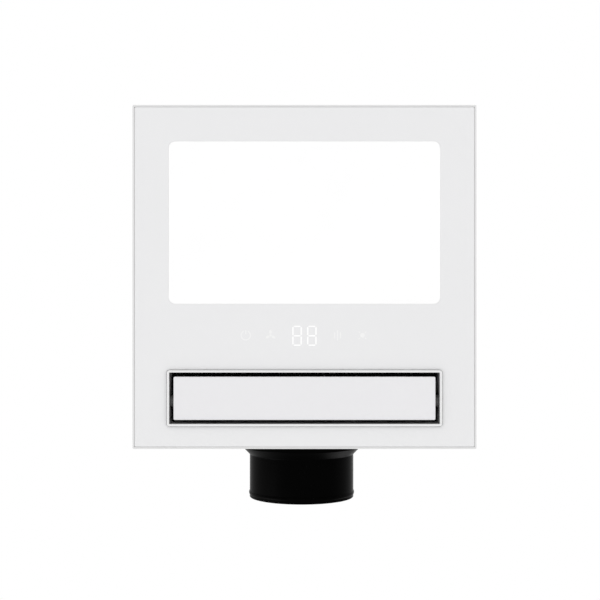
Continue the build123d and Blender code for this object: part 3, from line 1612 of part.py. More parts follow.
def make_control_base():
    """The control box's base, an open tray against the side wall, notched for its wires."""
    x0 = -case_inner
    x1 = x0 + control_depth
    y1 = control_y0 + control_length
    z1 = control_z0 + control_height
    base = block(x0, x1, control_y0, y1, control_z0, z1)
    wall = control_wall
    base -= block(x0 + wall, x1 + 1, control_y0 + wall, y1 - wall, control_z0 + wall, z1 - wall)
    for y in (control_y0 + board_post_inset, y1 - board_post_inset):
        for z in (control_z0 + board_post_inset, z1 - board_post_inset):
            base += rod_x(board_post_radius, x0 + wall, x0 + wall + board_lift, y, z)
    middle_z = (control_z0 + z1) / 2
    return base - block(x1 - wire_notch_depth, x1 + 1, y1 - wall - 1, y1 + 1,
                        middle_z - wire_notch_width / 2, middle_z + wire_notch_width / 2)


def make_control_board():
    """The control board with its relays, transformer and connectors."""
    x0 = -case_inner + control_wall + board_lift
    x1 = x0 + board_thickness
    y0 = control_y0 + control_wall + board_gap
    y1 = control_y0 + control_length - control_wall - board_gap
    z0 = control_z0 + control_wall + board_gap
    z1 = control_z0 + control_height - control_wall - board_gap
    board = block(x0, x1, y0, y1, z0, z1)
    relay_z1 = z1 - relay_below_top
    for index in range(relays):
        y = y0 + relay_y + index * relay_pitch
        board += block(x1, x1 + relay_height, y - relay_width / 2, y + relay_width / 2,
                       relay_z1 - relay_length, relay_z1)
    board += block(x1, x1 + transformer_height, y1 - transformer_at - transformer_length,
                   y1 - transformer_at, z0 + transformer_at, z0 + transformer_at + transformer_width)
    for index in range(plugs):
        y = y0 + plug_y + index * plug_pitch
        board += block(x1, x1 + plug_height, y - plug_width / 2, y + plug_width / 2, z0 + plug_z,
                       z0 + plug_z + plug_height)
    return board


def make_control_cover():
    """The lid of the control box, with a row of vents."""
    x0 = -case_inner + control_depth
    y1 = control_y0 + control_length
    z1 = control_z0 + control_height
    cover = block(x0, x0 + control_wall, control_y0, y1, control_z0, z1)
    out = control_wall + cover_lip_gap
    inside = out + cover_lip_wall
    lip = block(x0 - cover_lip, x0, control_y0 + out, y1 - out, control_z0 + out, z1 - out)
    cover += lip - block(x0 - cover_lip - 1, x0 + 1, control_y0 + inside, y1 - inside,
                         control_z0 + inside, z1 - inside)
    for index in range(cover_vents):
        y = control_y0 + cover_vent_y + index * cover_vent_pitch
        cover -= block(x0 - 1, x0 + control_wall + 1, y - cover_vent_width / 2, y + cover_vent_width / 2,
                       control_z0 + cover_vent_inset, z1 - cover_vent_inset)
    return cover


def main():
    """Make every sub-part and write it."""
    os.makedirs("parts", exist_ok=True)
    digits = make_display_digits()
    icons = make_display_icons()
    save("panel_frame", make_panel_frame())
    save("panel_screws", *make_panel_screws())
    save("face_plate", make_face_plate(digits + icons))
    save("display_digits", *digits)
    save("display_icons", *icons)
    save("display_shroud", make_display_shroud())
    save("display_board", make_display_board())
    save("light_diffuser", make_light_diffuser())
    save("light_guide", make_light_guide())
    save("reflector_sheet", make_reflector_sheet())
    save("led_strips", *make_led_strips())
    save("light_tray", make_light_tray())
    save("face_screws", *make_tray_screws(), *make_display_screws())
    save("led_driver", make_led_driver())
    save("ceiling_ring", make_ceiling_ring())
    save("housing", make_housing())
    save("top_lid", make_top_lid())
    save("hanger_brackets", *make_hanger_brackets())
    save("outlet_trim", make_outlet_trim())
    save("louvre_bushes", *make_louvre_bushes())
    save("louvre_blade", make_louvre_blade())
    save("louvre_motor", make_louvre_motor())
    save("louvre_drive_shaft", make_louvre_drive_shaft())
    save("outlet_duct", make_outlet_duct())
    save("outlet_guard", make_outlet_guard())
    save("ptc_frame", make_ptc_frame())
    save("ptc_bars", *make_ptc_bars())
    save("ptc_fins", *make_ptc_fins())
    save("ptc_terminals", *make_ptc_terminals())
    save("thermal_cutout", make_thermal_cutout())
    save("damper_housing", make_damper_housing())
    save("damper_flap", make_damper_flap())
    save("damper_seal", make_damper_seal())
    save("damper_shaft", make_damper_shaft())
    save("damper_bushes", *make_damper_bushes())
    save("damper_motor", make_damper_motor())
    save("volute_shell", make_volute_shell())
    save("volute_cover", make_volute_cover())
    save("inlet_ring", make_inlet_ring())
    save("impeller", make_impeller())
    save("impeller_nut", make_impeller_nut())
    save("motor_rotor", make_motor_rotor())
    save("motor_stator", make_motor_stator())
    save("motor_case", make_motor_case())
    save("motor_bearings", *make_motor_bearings())
    save("motor_grommets", *make_motor_grommets())
    save("capacitor", make_capacitor())
    save("fan_rails", *make_fan_rails())
    save("fan_screws", *make_fan_screws(), *make_motor_screws(), *make_duct_screws())
    save("duct_spigot", make_duct_spigot())
    save("spigot_gasket", make_spigot_gasket())
    save("case_screws", *make_lid_screws(), *make_spigot_screws())
    save("backdraft_flap", make_backdraft_flap())
    save("backdraft_pin", make_backdraft_pin())
    save("wiring_box", make_wiring_box())
    save("terminal_block", make_terminal_block())
    save("cable_gland", make_cable_gland())
    save("control_base", make_control_base())
    save("control_board", make_control_board())
    save("control_cover", make_control_cover())


main()
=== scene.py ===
# %% [markdown]
# A bathroom ceiling heater, seen from below as it hangs in a ceiling. Its square panel carries a
# light window, a small display and a warm-air outlet with a swinging blade. A zinc-coated steel
# case stands on the panel, and a black round duct spigot leaves it on one side.
# The fixed frame is loaded first. Every piece made below sits where that frame says.

# %% Load the fixed frame
import json
import math
import random

import bmesh
import bpy
from mathutils import Matrix, Vector

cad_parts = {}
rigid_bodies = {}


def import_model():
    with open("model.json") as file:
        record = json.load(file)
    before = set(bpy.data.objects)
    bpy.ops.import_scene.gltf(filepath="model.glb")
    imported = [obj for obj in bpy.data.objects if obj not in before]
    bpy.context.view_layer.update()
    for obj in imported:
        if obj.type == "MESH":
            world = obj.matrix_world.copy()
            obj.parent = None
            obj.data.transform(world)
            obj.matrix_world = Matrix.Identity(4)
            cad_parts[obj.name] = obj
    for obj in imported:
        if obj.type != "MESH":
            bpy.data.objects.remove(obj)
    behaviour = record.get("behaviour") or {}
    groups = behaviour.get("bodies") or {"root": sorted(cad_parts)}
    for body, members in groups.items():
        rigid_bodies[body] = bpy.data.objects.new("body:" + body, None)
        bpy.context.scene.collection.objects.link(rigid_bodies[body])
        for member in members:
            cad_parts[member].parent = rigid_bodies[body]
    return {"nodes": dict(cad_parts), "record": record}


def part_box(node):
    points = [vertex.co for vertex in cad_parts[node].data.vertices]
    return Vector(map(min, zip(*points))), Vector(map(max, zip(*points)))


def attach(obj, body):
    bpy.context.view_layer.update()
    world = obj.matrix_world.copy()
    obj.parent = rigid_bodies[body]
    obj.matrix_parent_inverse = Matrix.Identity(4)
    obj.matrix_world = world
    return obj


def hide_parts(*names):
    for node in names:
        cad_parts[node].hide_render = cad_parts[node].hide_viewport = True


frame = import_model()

MM = 0.001
MICRON = 0.000001
QUARTER = math.pi / 2
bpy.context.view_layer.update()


# %% [markdown]
# A few small helpers come first. One puts an object into the scene and two write a colour. The
# others make the nodes of a tree, where each input takes a plain value or another node's output.


# %% Helpers for objects and nodes
def add_object(name, data):
    """A new object with this data, in the scene."""
    thing = bpy.data.objects.new(name, data)
    bpy.context.scene.collection.objects.link(thing)
    return thing


def grey(value):
    """A neutral colour."""
    return (value, value, value)


def opaque(colour):
    """A colour with its alpha, as a shader's socket takes it."""
    return (*colour, 1.0)


def feed(tree, node, values):
    """Give a node's inputs their values, or link other nodes' outputs to them."""
    for label, value in values.items():
        if isinstance(value, bpy.types.NodeSocket):
            tree.links.new(value, node.inputs[label])
        else:
            node.inputs[label].default_value = value


def add_node(tree, kind, values, operation=None, data_type=None, node_tree=None):
    """Make a node with its settings and its inputs, and return its outputs."""
    node = tree.nodes.new(kind)
    if operation:
        node.operation = operation
    if data_type:
        node.data_type = data_type
    if node_tree:
        node.node_tree = node_tree
    feed(tree, node, values)
    return node.outputs


def math_node(tree, operation, first, second):
    """The result of one math node. Each side is a socket or a number."""
    return add_node(tree, "ShaderNodeMath", {0: first, 1: second}, operation=operation)[0]


# %% [markdown]
# The camera stands right under the panel and looks straight up, a little off the panel's middle.
# A long lens keeps the sides parallel, so only the spigot behind the panel shows any perspective.
# With the view turned half round about Y, the picture's right is the model's -X.

# %% Camera
FACE_Z = -12.0 * MM
CAMERA_DISTANCE = 1.0406
CAMERA_X = 3.9 * MM
CAMERA_Y = -20.1 * MM
LENS = 71.6
NEAREST_SEEN = 0.01
FARTHEST_SEEN = 60.0

camera_data = bpy.data.cameras.new("view_from_below")
camera_data.lens = LENS
camera_data.clip_start = NEAREST_SEEN
camera_data.clip_end = FARTHEST_SEEN
camera = add_object("view_from_below", camera_data)
camera.location = (CAMERA_X, CAMERA_Y, FACE_Z - CAMERA_DISTANCE)
camera.rotation_euler = (0.0, math.pi, 0.0)
bpy.context.scene.camera = camera
bpy.context.scene.view_settings.view_transform = "Standard"
print("camera", [round(value, 3) for value in camera.location])

# %% [markdown]
# A product picture of a white thing on white needs light from every side, and none of it strong.
# The world is white to the camera and in reflections, and dimmer where it lights a surface. Large
# soft lamps below, above and beside the heater add the rest, so a colour renders about as it is
# written. The low lamp on the +X side is only mirrored, as a white card beside a product would be,
# and draws the soft band down the black spigot. The lamp below lights the face and isn't mirrored.

# %% World and lamps
AMBIENT = 0.87


def make_world():
    """A world that is plain white to look at and in reflections, and dimmer as a light."""
    world = bpy.data.worlds.new("studio")
    bpy.context.scene.world = world
    world.use_nodes = True
    tree = world.node_tree
    path = add_node(tree, "ShaderNodeLightPath", {})
    seen = math_node(tree, "MAXIMUM", path["Is Camera Ray"], path["Is Glossy Ray"])
    shown = math_node(tree, "MAXIMUM", seen, path["Is Transmission Ray"])
    strength = add_node(tree, "ShaderNodeMapRange", {
        "Value": shown, "To Min": AMBIENT, "To Max": 1.0})
    feed(tree, tree.nodes["Background"], {
        "Color": opaque(grey(1.0)), "Strength": strength["Result"]})


def soft_lamp(name, place, aim, side, power, mirrored=True, lights=True):
    """A square soft lamp that shines from a place towards a point. It may only be mirrored."""
    data = bpy.data.lights.new(name, "AREA")
    data.shape = "SQUARE"
    data.size = side
    data.energy = power
    lamp = add_object(name, data)
    lamp.location = place
    lamp.rotation_euler = (Vector(aim) - Vector(place)).to_track_quat("-Z", "Y").to_euler()
    lamp.visible_camera = False
    lamp.visible_glossy = mirrored
    lamp.visible_diffuse = lights


make_world()
soft_lamp("lamp_below", (0.03, 0.1, -1.5), (0.0, 0.0, 0.0), 1.6, 4.6, mirrored=False)
soft_lamp("lamp_above", (-0.2, 0.2, 1.7), (0.0, 0.0, 0.1), 1.8, 4.0)
soft_lamp("lamp_side", (1.4, -0.5, 0.1), (0.0, -0.15, 0.07), 1.4, 2.0)
soft_lamp("lamp_low", (1.25, -1.1, -0.35), (0.0, -0.18, 0.07), 1.1, 18.0, lights=False)
soft_lamp("lamp_front", (-0.85, -1.35, 0.75), (0.0, -0.16, 0.07), 0.8, 4.0)
soft_lamp("lamp_back", (-1.2, 1.3, 0.5), (0.0, 0.0, 0.05), 1.8, 4.0)
print("world and", len(bpy.data.lights), "soft lamps")

# %% [markdown]
# The floor is far below the heater. It is pale, takes the soft shadow, and is not part of the
# object. Only to the camera does it give a little light of its own, which brings it up to the white
# of the world behind it.

# %% Floor
FLOOR_Z = -1.7
FLOOR_HALF = 14.0
FLOOR_GREY = 0.9
FLOOR_ROUGHNESS = 0.9
FLOOR_LIFT = 0.45


def make_floor():
    """A wide pale floor under the heater and the camera."""
    corners = [(x * FLOOR_HALF, y * FLOOR_HALF, FLOOR_Z)
               for x, y in ((-1, -1), (1, -1), (1, 1), (-1, 1))]
    mesh = bpy.data.meshes.new("studio_floor")
    mesh.from_pydata(corners, [], [(0, 1, 2, 3)])
    material = bpy.data.materials.new("pale_floor")
    material.use_nodes = True
    tree = material.node_tree
    path = add_node(tree, "ShaderNodeLightPath", {})
    lift = add_node(tree, "ShaderNodeMix", {
        "Factor": path["Is Camera Ray"], "A": opaque(grey(0.0)), "B": opaque(grey(FLOOR_LIFT))},
        data_type="RGBA")
    feed(tree, tree.nodes["Principled BSDF"], {
        "Base Color": opaque(grey(FLOOR_GREY)), "Roughness": FLOOR_ROUGHNESS,
        "Emission Color": lift["Result"], "Emission Strength": 1.0})
    mesh.materials.append(material)
    floor = add_object("studio_floor", mesh)


make_floor()
print("floor at", FLOOR_Z)

# %% [markdown]
# Real surfaces are never one flat colour. Moulded plastic has a fine grain and slow changes of
# shade, zinc-coated sheet has crystals of unlike brightness, and rolled or turned metal has lines.
# Each of these effects is a node group, made once, that puts out a shade and a height. Every
# material below takes the groups that it needs with sizes of its own.


# %% Helpers for effect groups
def new_effect(name, inputs):
    """An effect group with named inputs, a Shade and a Height to put out, and what comes in."""
    group = bpy.data.node_groups.new(name, "ShaderNodeTree")
    for label, value in inputs.items():
        socket = group.interface.new_socket(label, in_out="INPUT", socket_type="NodeSocketFloat")
        socket.default_value = value
    for label in ("Shade", "Height"):
        group.interface.new_socket(label, in_out="OUTPUT", socket_type="NodeSocketFloat")
    return group, add_node(group, "NodeGroupInput", {})


def put_out(group, shade, height):
    """End an effect group with its two outputs."""
    feed(group, group.nodes.new("NodeGroupOutput"), {"Shade": shade, "Height": height})
    return group


def object_place(group):
    """The place on the piece that is being shaded, in Object coordinates."""
    return add_node(group, "ShaderNodeTexCoord", {})["Object"]


def noise(group, place, scale, **more):
    """The shade of a noise texture."""
    return add_node(group, "ShaderNodeTexNoise", {"Vector": place, "Scale": scale, **more})["Fac"]


def weighted_sum(group, shares):
    """Add several sockets, each times its own share."""
    total = 0.0
    for socket, share in shares:
        total = math_node(group, "ADD", total, math_node(group, "MULTIPLY", socket, share))
    return total


# %% [markdown]
# Moulded grain: a fine noise for the tool's texture and a slow noise for the mottling that keeps a
# large plain surface from looking like paper. Both read Object coordinates, so a pattern stays on
# its piece and continues from one piece to the next.


# %% Grain and mottle
GRAIN_SHARE = 0.35
MOTTLE_SHARE = 0.65


def make_grain_effect():
    """Fine grain and slow mottle: Shade is about 0 to 1, Height is for a bump."""
    group, start = new_effect("moulded_grain", {"Grain": 2500.0, "Mottle": 14.0, "Detail": 3.0})
    place = object_place(group)
    slow = noise(group, place, start["Mottle"], Detail=start["Detail"])
    fine = noise(group, place, start["Grain"])
    shares = [(fine, GRAIN_SHARE), (slow, MOTTLE_SHARE)]
    return put_out(group, weighted_sum(group, shares), fine)


grain_effect = make_grain_effect()
print("effect:", grain_effect.name)

# %% [markdown]
# Zinc spangle: hot-dip zinc freezes as flat crystals some millimetres across, each with its own
# brightness. Voronoi cells, bent by a little noise, give the crystals. A finer noise gives the
# feathery lines within each one, and a slow one the dull patches that sheet gets in a store.


# %% Zinc spangle
BEND_SCALE = 260.0
FEATHER_DETAIL = 4.0
DULL_DETAIL = 5.0
CRYSTAL_SHARE = 0.26
FEATHER_SHARE = 0.36
DULL_SHARE = 0.38


def make_spangle_effect():
    """Zinc crystals: Shade differs from cell to cell, Height is almost flat."""
    group, start = new_effect("zinc_spangle", {
        "Crystal": 300.0, "Feather": 900.0, "Dull": 9.0, "Bend": 0.0012})
    place = object_place(group)
    bend = add_node(group, "ShaderNodeTexNoise", {"Vector": place, "Scale": BEND_SCALE})["Color"]
    offset = add_node(group, "ShaderNodeVectorMath", {0: bend, "Scale": start["Bend"]},
                      operation="SCALE")
    bent = add_node(group, "ShaderNodeVectorMath", {0: place, 1: offset[0]})
    cells = add_node(group, "ShaderNodeTexVoronoi", {"Vector": bent[0], "Scale": start["Crystal"]})
    crystal = add_node(group, "ShaderNodeSeparateColor", {0: cells["Color"]})[0]
    feather = noise(group, place, start["Feather"], Detail=FEATHER_DETAIL)
    dull = noise(group, place, start["Dull"], Detail=DULL_DETAIL)
    shares = [(crystal, CRYSTAL_SHARE), (feather, FEATHER_SHARE), (dull, DULL_SHARE)]
    return put_out(group, weighted_sum(group, shares), feather)


spangle_effect = make_spangle_effect()
print("effect:", spangle_effect.name)

# %% [markdown]
# Rolled lines: aluminium and steel strip carry fine lines in the rolling direction. The same noise
# does this when one axis of its coordinates is squeezed, so that each blob becomes a long streak.


# %% Rolled lines
LINE_DETAIL = 2.0


def make_line_effect():
    """Streaks along X, as Shade and as Height."""
    group, start = new_effect("rolled_lines", {"Lines": 1800.0, "Stretch": 0.02})
    squeeze = add_node(group, "ShaderNodeCombineXYZ", {"X": start["Stretch"], "Y": 1.0, "Z": 1.0})
    scaled = add_node(group, "ShaderNodeVectorMath", {0: object_place(group), 1: squeeze[0]},
                      operation="MULTIPLY")
    lines = noise(group, scaled[0], start["Lines"], Detail=LINE_DETAIL)
    return put_out(group, lines, lines)


line_effect = make_line_effect()
print("effect:", line_effect.name)

# %% [markdown]
# One function makes a material from an effect. The effect's shade mixes two near colours and two
# near roughness values, and its height feeds a bump whose real depth is given in microns. What is
# the same all over, such as how metallic the surface is, is set straight on the shader. Each
# finish is kept under its name.

# %% The material function
SHADE_LOW = 0.3
SHADE_HIGH = 0.7
BUMP_STRENGTH = 0.5
METAL_DEPTH = 10

finishes = {}


def make_finish(name, dark, light, rough, effect, sizes, depth, metallic=0.0, specular=0.5):
    """A surface finish: two colours and two roughness values, mixed by an effect, with its bump."""
    material = bpy.data.materials.new(name)
    material.use_nodes = True
    tree = material.node_tree
    pattern = add_node(tree, "ShaderNodeGroup", sizes, node_tree=effect)
    share = add_node(tree, "ShaderNodeMapRange", {
        "Value": pattern["Shade"], "From Min": SHADE_LOW, "From Max": SHADE_HIGH})["Result"]
    tint = add_node(tree, "ShaderNodeMix", {
        "Factor": share, "A": opaque(dark), "B": opaque(light)}, data_type="RGBA")
    gloss = add_node(tree, "ShaderNodeMapRange", {
        "Value": share, "To Min": rough[0], "To Max": rough[1]})
    bump = add_node(tree, "ShaderNodeBump", {
        "Strength": BUMP_STRENGTH, "Distance": depth * MICRON, "Height": pattern["Height"]})
    feed(tree, tree.nodes["Principled BSDF"], {
        "Base Color": tint["Result"], "Metallic": metallic, "Roughness": gloss["Result"],
        "Specular IOR Level": specular, "Normal": bump["Normal"]})
    finishes[name] = material
    return material


def moulded(name, dark, light, rough, specular=0.5, depth=20, grain=2500.0, mottle=14.0):
    """A moulded plastic or painted finish."""
    sizes = {"Grain": grain, "Mottle": mottle}
    return make_finish(name, dark, light, rough, grain_effect, sizes, depth, specular=specular)


def zinc(name, dark, light, rough, crystal=300.0):
    """A zinc-coated sheet finish."""
    return make_finish(name, dark, light, rough, spangle_effect, {"Crystal": crystal}, METAL_DEPTH,
                       metallic=1.0)


def rolled(name, dark, light, rough, lines=1800.0, metallic=1.0):
    """A bare metal finish with lines."""
    return make_finish(name, dark, light, rough, line_effect, {"Lines": lines}, METAL_DEPTH,
                       metallic=metallic)


# %% [markdown]
# The finishes that the picture shows come first. The face is a pale grey, a little cooler than
# neutral, with a satin gloss. The rim, the outlet's trim and the blade are near whites of their
# own. The spigot is black, half glossy, and reflects little.

# %% Finishes that show from below
moulded("face_grey", (0.815, 0.815, 0.822), (0.829, 0.829, 0.836), (0.32, 0.38), depth=4,
        mottle=6.0)
moulded("rim_silver", grey(0.73), grey(0.76), (0.3, 0.38), depth=4)
moulded("trim_silver", grey(0.8), grey(0.84), (0.22, 0.3), depth=4)
moulded("blade_white", (0.81, 0.805, 0.82), (0.825, 0.82, 0.835), (0.34, 0.42), depth=6,
        mottle=8.0)
moulded("bush_grey", grey(0.06), grey(0.085), (0.45, 0.6), specular=0.3)
moulded("spigot_black", grey(0.0004), grey(0.0008), (0.24, 0.34), specular=0.013, depth=6,
        grain=900.0)
moulded("black_plastic", grey(0.008), grey(0.014), (0.4, 0.55), specular=0.3, depth=30,
        grain=1400.0)
moulded("dark_wire", grey(0.002), grey(0.004), (0.4, 0.55), specular=0.06)
print("finishes:", len(finishes))

# %% [markdown]
# The outlet's sleeve has a finish of its own: a dull grey, so that its shaded wall shows as a
# narrow dark band beside the black gap.

# %% Finish of the outlet's sleeve
sleeve_grey = moulded("sleeve_grey", grey(0.38), grey(0.44), (0.5, 0.65), specular=0.2)
print("finish:", sleeve_grey.name)

# %% [markdown]
# The light window and the display's figures give a little light of their own on top of what they
# reflect. The window is an opal sheet, so it keeps a soft gloss. The small icons beside the figures
# are not lit, and show only as a slightly paler print.


# %% Finishes that glow
GLOW_MOTTLE = 5.0
GLOW_DEPTH = 3
GLOW_SPREAD = 0.01


def glowing(name, level, strength, rough):
    """A pale moulded finish that also gives a little light."""
    material = moulded(name, grey(level - GLOW_SPREAD), grey(level), rough, depth=GLOW_DEPTH,
                       mottle=GLOW_MOTTLE)
    tree = material.node_tree
    feed(tree, tree.nodes["Principled BSDF"], {
        "Emission Color": opaque(grey(1.0)), "Emission Strength": strength})
    return material


glowing("window_white", 0.91, 0.09, (0.25, 0.32))
glowing("display_light", 0.92, 0.1, (0.35, 0.45))
icon_print = glowing("icon_print", 0.89, 0.0, (0.35, 0.45))
print("finishes:", len(finishes))

# %% [markdown]
# The rest shows from the sides and the back, or only when the heater is taken apart: zinc-coated
# sheet for the case, plain plated steel for screws and shafts, black-coated aluminium for the
# heater's fins, plastics, rubber, foam and a lacquered circuit board.

# %% Finishes of the case and the inside
zinc("case_steel", (0.29, 0.305, 0.32), (0.43, 0.44, 0.45), (0.3, 0.44))
zinc("bracket_steel", (0.33, 0.34, 0.35), (0.46, 0.47, 0.48), (0.32, 0.46), crystal=420.0)
rolled("tray_metal", grey(0.62), grey(0.72), (0.3, 0.45))
rolled("bright_steel", grey(0.52), grey(0.64), (0.2, 0.34), lines=900.0)
zinc("motor_steel", grey(0.46), grey(0.58), (0.25, 0.38), crystal=600.0)
rolled("motor_iron", (0.3, 0.13, 0.05), (0.6, 0.28, 0.12), (0.3, 0.5), lines=1500.0)
rolled("heater_metal", grey(0.03), grey(0.05), (0.4, 0.55), metallic=0.6)
rolled("terminal_brass", (0.6, 0.42, 0.14), (0.75, 0.55, 0.22), (0.2, 0.35))
moulded("heater_frame", grey(0.01), grey(0.02), (0.55, 0.7), specular=0.2, depth=40)
moulded("white_plastic", (0.74, 0.74, 0.72), (0.8, 0.8, 0.78), (0.4, 0.5))
moulded("white_sheet", grey(0.88), grey(0.92), (0.6, 0.7))
moulded("clear_sheet", (0.82, 0.86, 0.88), (0.88, 0.91, 0.93), (0.08, 0.14))
moulded("circuit_board", (0.012, 0.12, 0.045), (0.02, 0.2, 0.08), (0.25, 0.4), mottle=260.0)
moulded("black_rubber", grey(0.012), grey(0.02), (0.7, 0.85), specular=0.2)
moulded("wheel_plastic", grey(0.03), grey(0.045), (0.42, 0.55))
moulded("foam_grey", grey(0.03), grey(0.06), (0.85, 0.95), specular=0.2, depth=200, grain=1200.0)
print("finishes:", len(finishes))

# %% [markdown]
# The record says which finish each node has. Every node of the frame gets it here, so a node that
# no piece replaces later is already dressed.

# %% Dress the frame's nodes
slot_of = {part["node"]: part["material_slot"] for part in frame["record"]["subparts"]}
body_of = {node: body for body, nodes in frame["record"]["behaviour"]["bodies"].items()
           for node in nodes}
for node, cad in frame["nodes"].items():
    for place in cad.material_slots:
        place.material = finishes[slot_of[node]]
print("dressed", len(frame["nodes"]), "nodes in", len(set(slot_of.values())), "finishes")

# %% [markdown]
# The pieces are plain meshes at the origin with their place in their points. These helpers end
# every piece in the same way: smooth round faces, sharp real corners, a finish, the body it rides
# on and the node it stands for. Where a round edge meets a wide flat face, the Weighted Normal
# modifier lets the wide face decide, so that it shades as flat as it is.


# %% Helpers that finish a piece
SHARP_ANGLE = math.radians(32)
WIDE_FACE_WEIGHT = 90
SAME_POINT = 1 * MICRON


def link_mesh(name, shape):
    """An object from a bmesh, in the scene."""
    mesh = bpy.data.meshes.new(name)
    shape.to_mesh(mesh)
    shape.free()
    return add_object(name, mesh)


def plain_mesh(thing):
    """A new mesh of what an object's modifiers or its curve settings make."""
    graph = bpy.context.evaluated_depsgraph_get()
    return bpy.data.meshes.new_from_object(thing.evaluated_get(graph))


def settle(piece):
    """Turn the piece's modifiers into a plain mesh."""
    mesh = plain_mesh(piece)
    piece.modifiers.clear()
    piece.data = mesh
    return piece


def shade(piece):
    """Smooth over round faces, keep real corners, and let wide faces stay flat."""
    piece.data.shade_smooth()
    piece.data.set_sharp_from_angle(angle=SHARP_ANGLE)
    weight = piece.modifiers.new("wide_faces_stay_flat", "WEIGHTED_NORMAL")
    weight.mode = "FACE_AREA"
    weight.weight = WIDE_FACE_WEIGHT
    weight.keep_sharp = True
    settle(piece)


def hand_over(piece, *nodes, slot=None, body=None, finish=None):
    """Give the piece its finish and shading, let it ride, and let it stand for its nodes."""
    slot = slot or slot_of[nodes[0]]
    shade(piece)
    piece.data.materials.clear()
    piece.data.materials.append(finish or finishes[slot])
    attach(piece, body or body_of[nodes[0]])
    if nodes:
        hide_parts(*nodes)
    print(piece.name, "-", len(piece.data.polygons), "faces")


def fix_to_case(piece, slot="case_steel"):
    """Hand over a piece that is added to the nodes' own and stays with the case."""
    hand_over(piece, slot=slot, body="root")


def clean(shape):
    """Merge the doubles and point every face outwards."""
    bmesh.ops.remove_doubles(shape, verts=shape.verts, dist=SAME_POINT)
    bmesh.ops.recalc_face_normals(shape, faces=shape.faces)
    return shape


# %% [markdown]
# Sheet-metal and moulded parts never have knife edges. A frame node with the right shape is copied,
# its triangles are merged back into whole faces, and a narrow bevel rounds each real corner, which
# gives the thin light line that an edge shows in a photograph. The node itself stays untouched.

# %% Softened copies of frame nodes
EDGE_ANGLE = math.radians(30)
FLAT_ANGLE = math.radians(0.5)
NODE_DOUBLES = 2 * MICRON
BEVEL_SEGMENTS = 2


def node_shape(node):
    """The node's triangles in a bmesh, with their doubles merged."""
    shape = bmesh.new()
    shape.from_mesh(frame["nodes"][node].data)
    bmesh.ops.remove_doubles(shape, verts=shape.verts, dist=NODE_DOUBLES)
    return shape


def merged_copy(node):
    """The node's shape with its flat triangles joined."""
    shape = node_shape(node)
    bmesh.ops.dissolve_limit(shape, angle_limit=FLAT_ANGLE, verts=shape.verts, edges=shape.edges)
    return shape


def softened(node, width):
    """A copy of a node with its real corners rounded by a narrow bevel."""
    piece = link_mesh(node + "_soft", merged_copy(node))
    bevel = piece.modifiers.new("rounded_corners", "BEVEL")
    bevel.width = width
    bevel.segments = BEVEL_SEGMENTS
    bevel.limit_method = "ANGLE"
    bevel.angle_limit = EDGE_ANGLE
    bevel.use_clamp_overlap = True
    hand_over(settle(piece), node)


# %% [markdown]
# Flat plates with rounded holes, such as the face and the light window, are drawn as flat curves.
# Blender fills such a curve, gives it thickness and rounds its edges in one go. The round edge
# stands outside the drawn line, so the outline is drawn smaller, and a hole larger, by its radius.

# %% Plates from outlines
CORNER_STEPS = 8
ROUND_EDGE_STEPS = 2


def corner_stops(x, y, half_x, half_y, corner):
    """Stops round a rectangle, counter-clockwise: a corner's centre, a cosine and a sine."""
    for turn, (side_x, side_y) in enumerate(((1, 1), (-1, 1), (-1, -1), (1, -1))):
        for step in range(CORNER_STEPS + 1):
            angle = math.radians(90 * turn + 90 * step / CORNER_STEPS)
            yield (x + side_x * (half_x - corner), y + side_y * (half_y - corner),
                   math.cos(angle), math.sin(angle))


def rounded_outline(x, y, half_x, half_y, corner):
    """Points round a rectangle with round corners."""
    return [(middle_x + corner * cosine, middle_y + corner * sine)
            for middle_x, middle_y, cosine, sine in corner_stops(x, y, half_x, half_y, corner)]


def plate(name, outlines, low, high, edge):
    """A plate between two heights. The first outline is its rim and the others are holes."""
    curve = bpy.data.curves.new(name, "CURVE")
    curve.dimensions = "2D"
    curve.fill_mode = "BOTH"
    curve.extrude = (high - low) / 2 - edge
    curve.bevel_depth = edge
    curve.bevel_resolution = ROUND_EDGE_STEPS
    for outline in outlines:
        spline = curve.splines.new("POLY")
        spline.points.add(len(outline) - 1)
        for point, (x, y) in zip(spline.points, outline):
            point.co = (x, y, 0.0, 1.0)
        spline.use_cyclic_u = True
    drawing = add_object(name, curve)
    shape = bmesh.new()
    shape.from_mesh(plain_mesh(drawing))
    bpy.data.objects.remove(drawing)
    bmesh.ops.translate(shape, verts=shape.verts, vec=(0.0, 0.0, (low + high) / 2))
    return clean(shape)


# %% [markdown]
# Round forms are turned on a lathe: a profile of radius and height goes round an axis. An open
# profile from axis to axis makes a solid of revolution, and a closed one makes a ring.


# %% Turned shapes
LATHE_DOUBLES = 0.5 * MICRON
LATHE_SLIVER = 0.1 * MICRON


def join_rings(shape, rings, closed=True):
    """Faces from each ring of points to the next, and from the last ring to the first."""
    count = len(rings[0])
    for ring, following in zip(rings, rings[1:] + rings[:1]):
        for index in range(count if closed else count - 1):
            after = (index + 1) % count
            shape.faces.new((ring[index], following[index], following[after], ring[after]))


def lathe(profile, steps, closed):
    """Turn a profile of (radius, height) about Z. A closed profile makes a ring."""
    shape = bmesh.new()
    rings = []
    for step in range(steps):
        angle = 2 * math.pi * step / steps
        rings.append([shape.verts.new((radius * math.cos(angle), radius * math.sin(angle), height))
                      for radius, height in profile])
    join_rings(shape, rings, closed)
    bmesh.ops.remove_doubles(shape, verts=shape.verts, dist=LATHE_DOUBLES)
    bmesh.ops.dissolve_degenerate(shape, edges=shape.edges, dist=LATHE_SLIVER)
    bmesh.ops.recalc_face_normals(shape, faces=shape.faces)
    return shape


def section(inner, outer, low, high):
    """A plain profile with four corners, of a ring, or of a rod where it starts at radius 0."""
    return [(inner, low), (outer, low), (outer, high), (inner, high)]


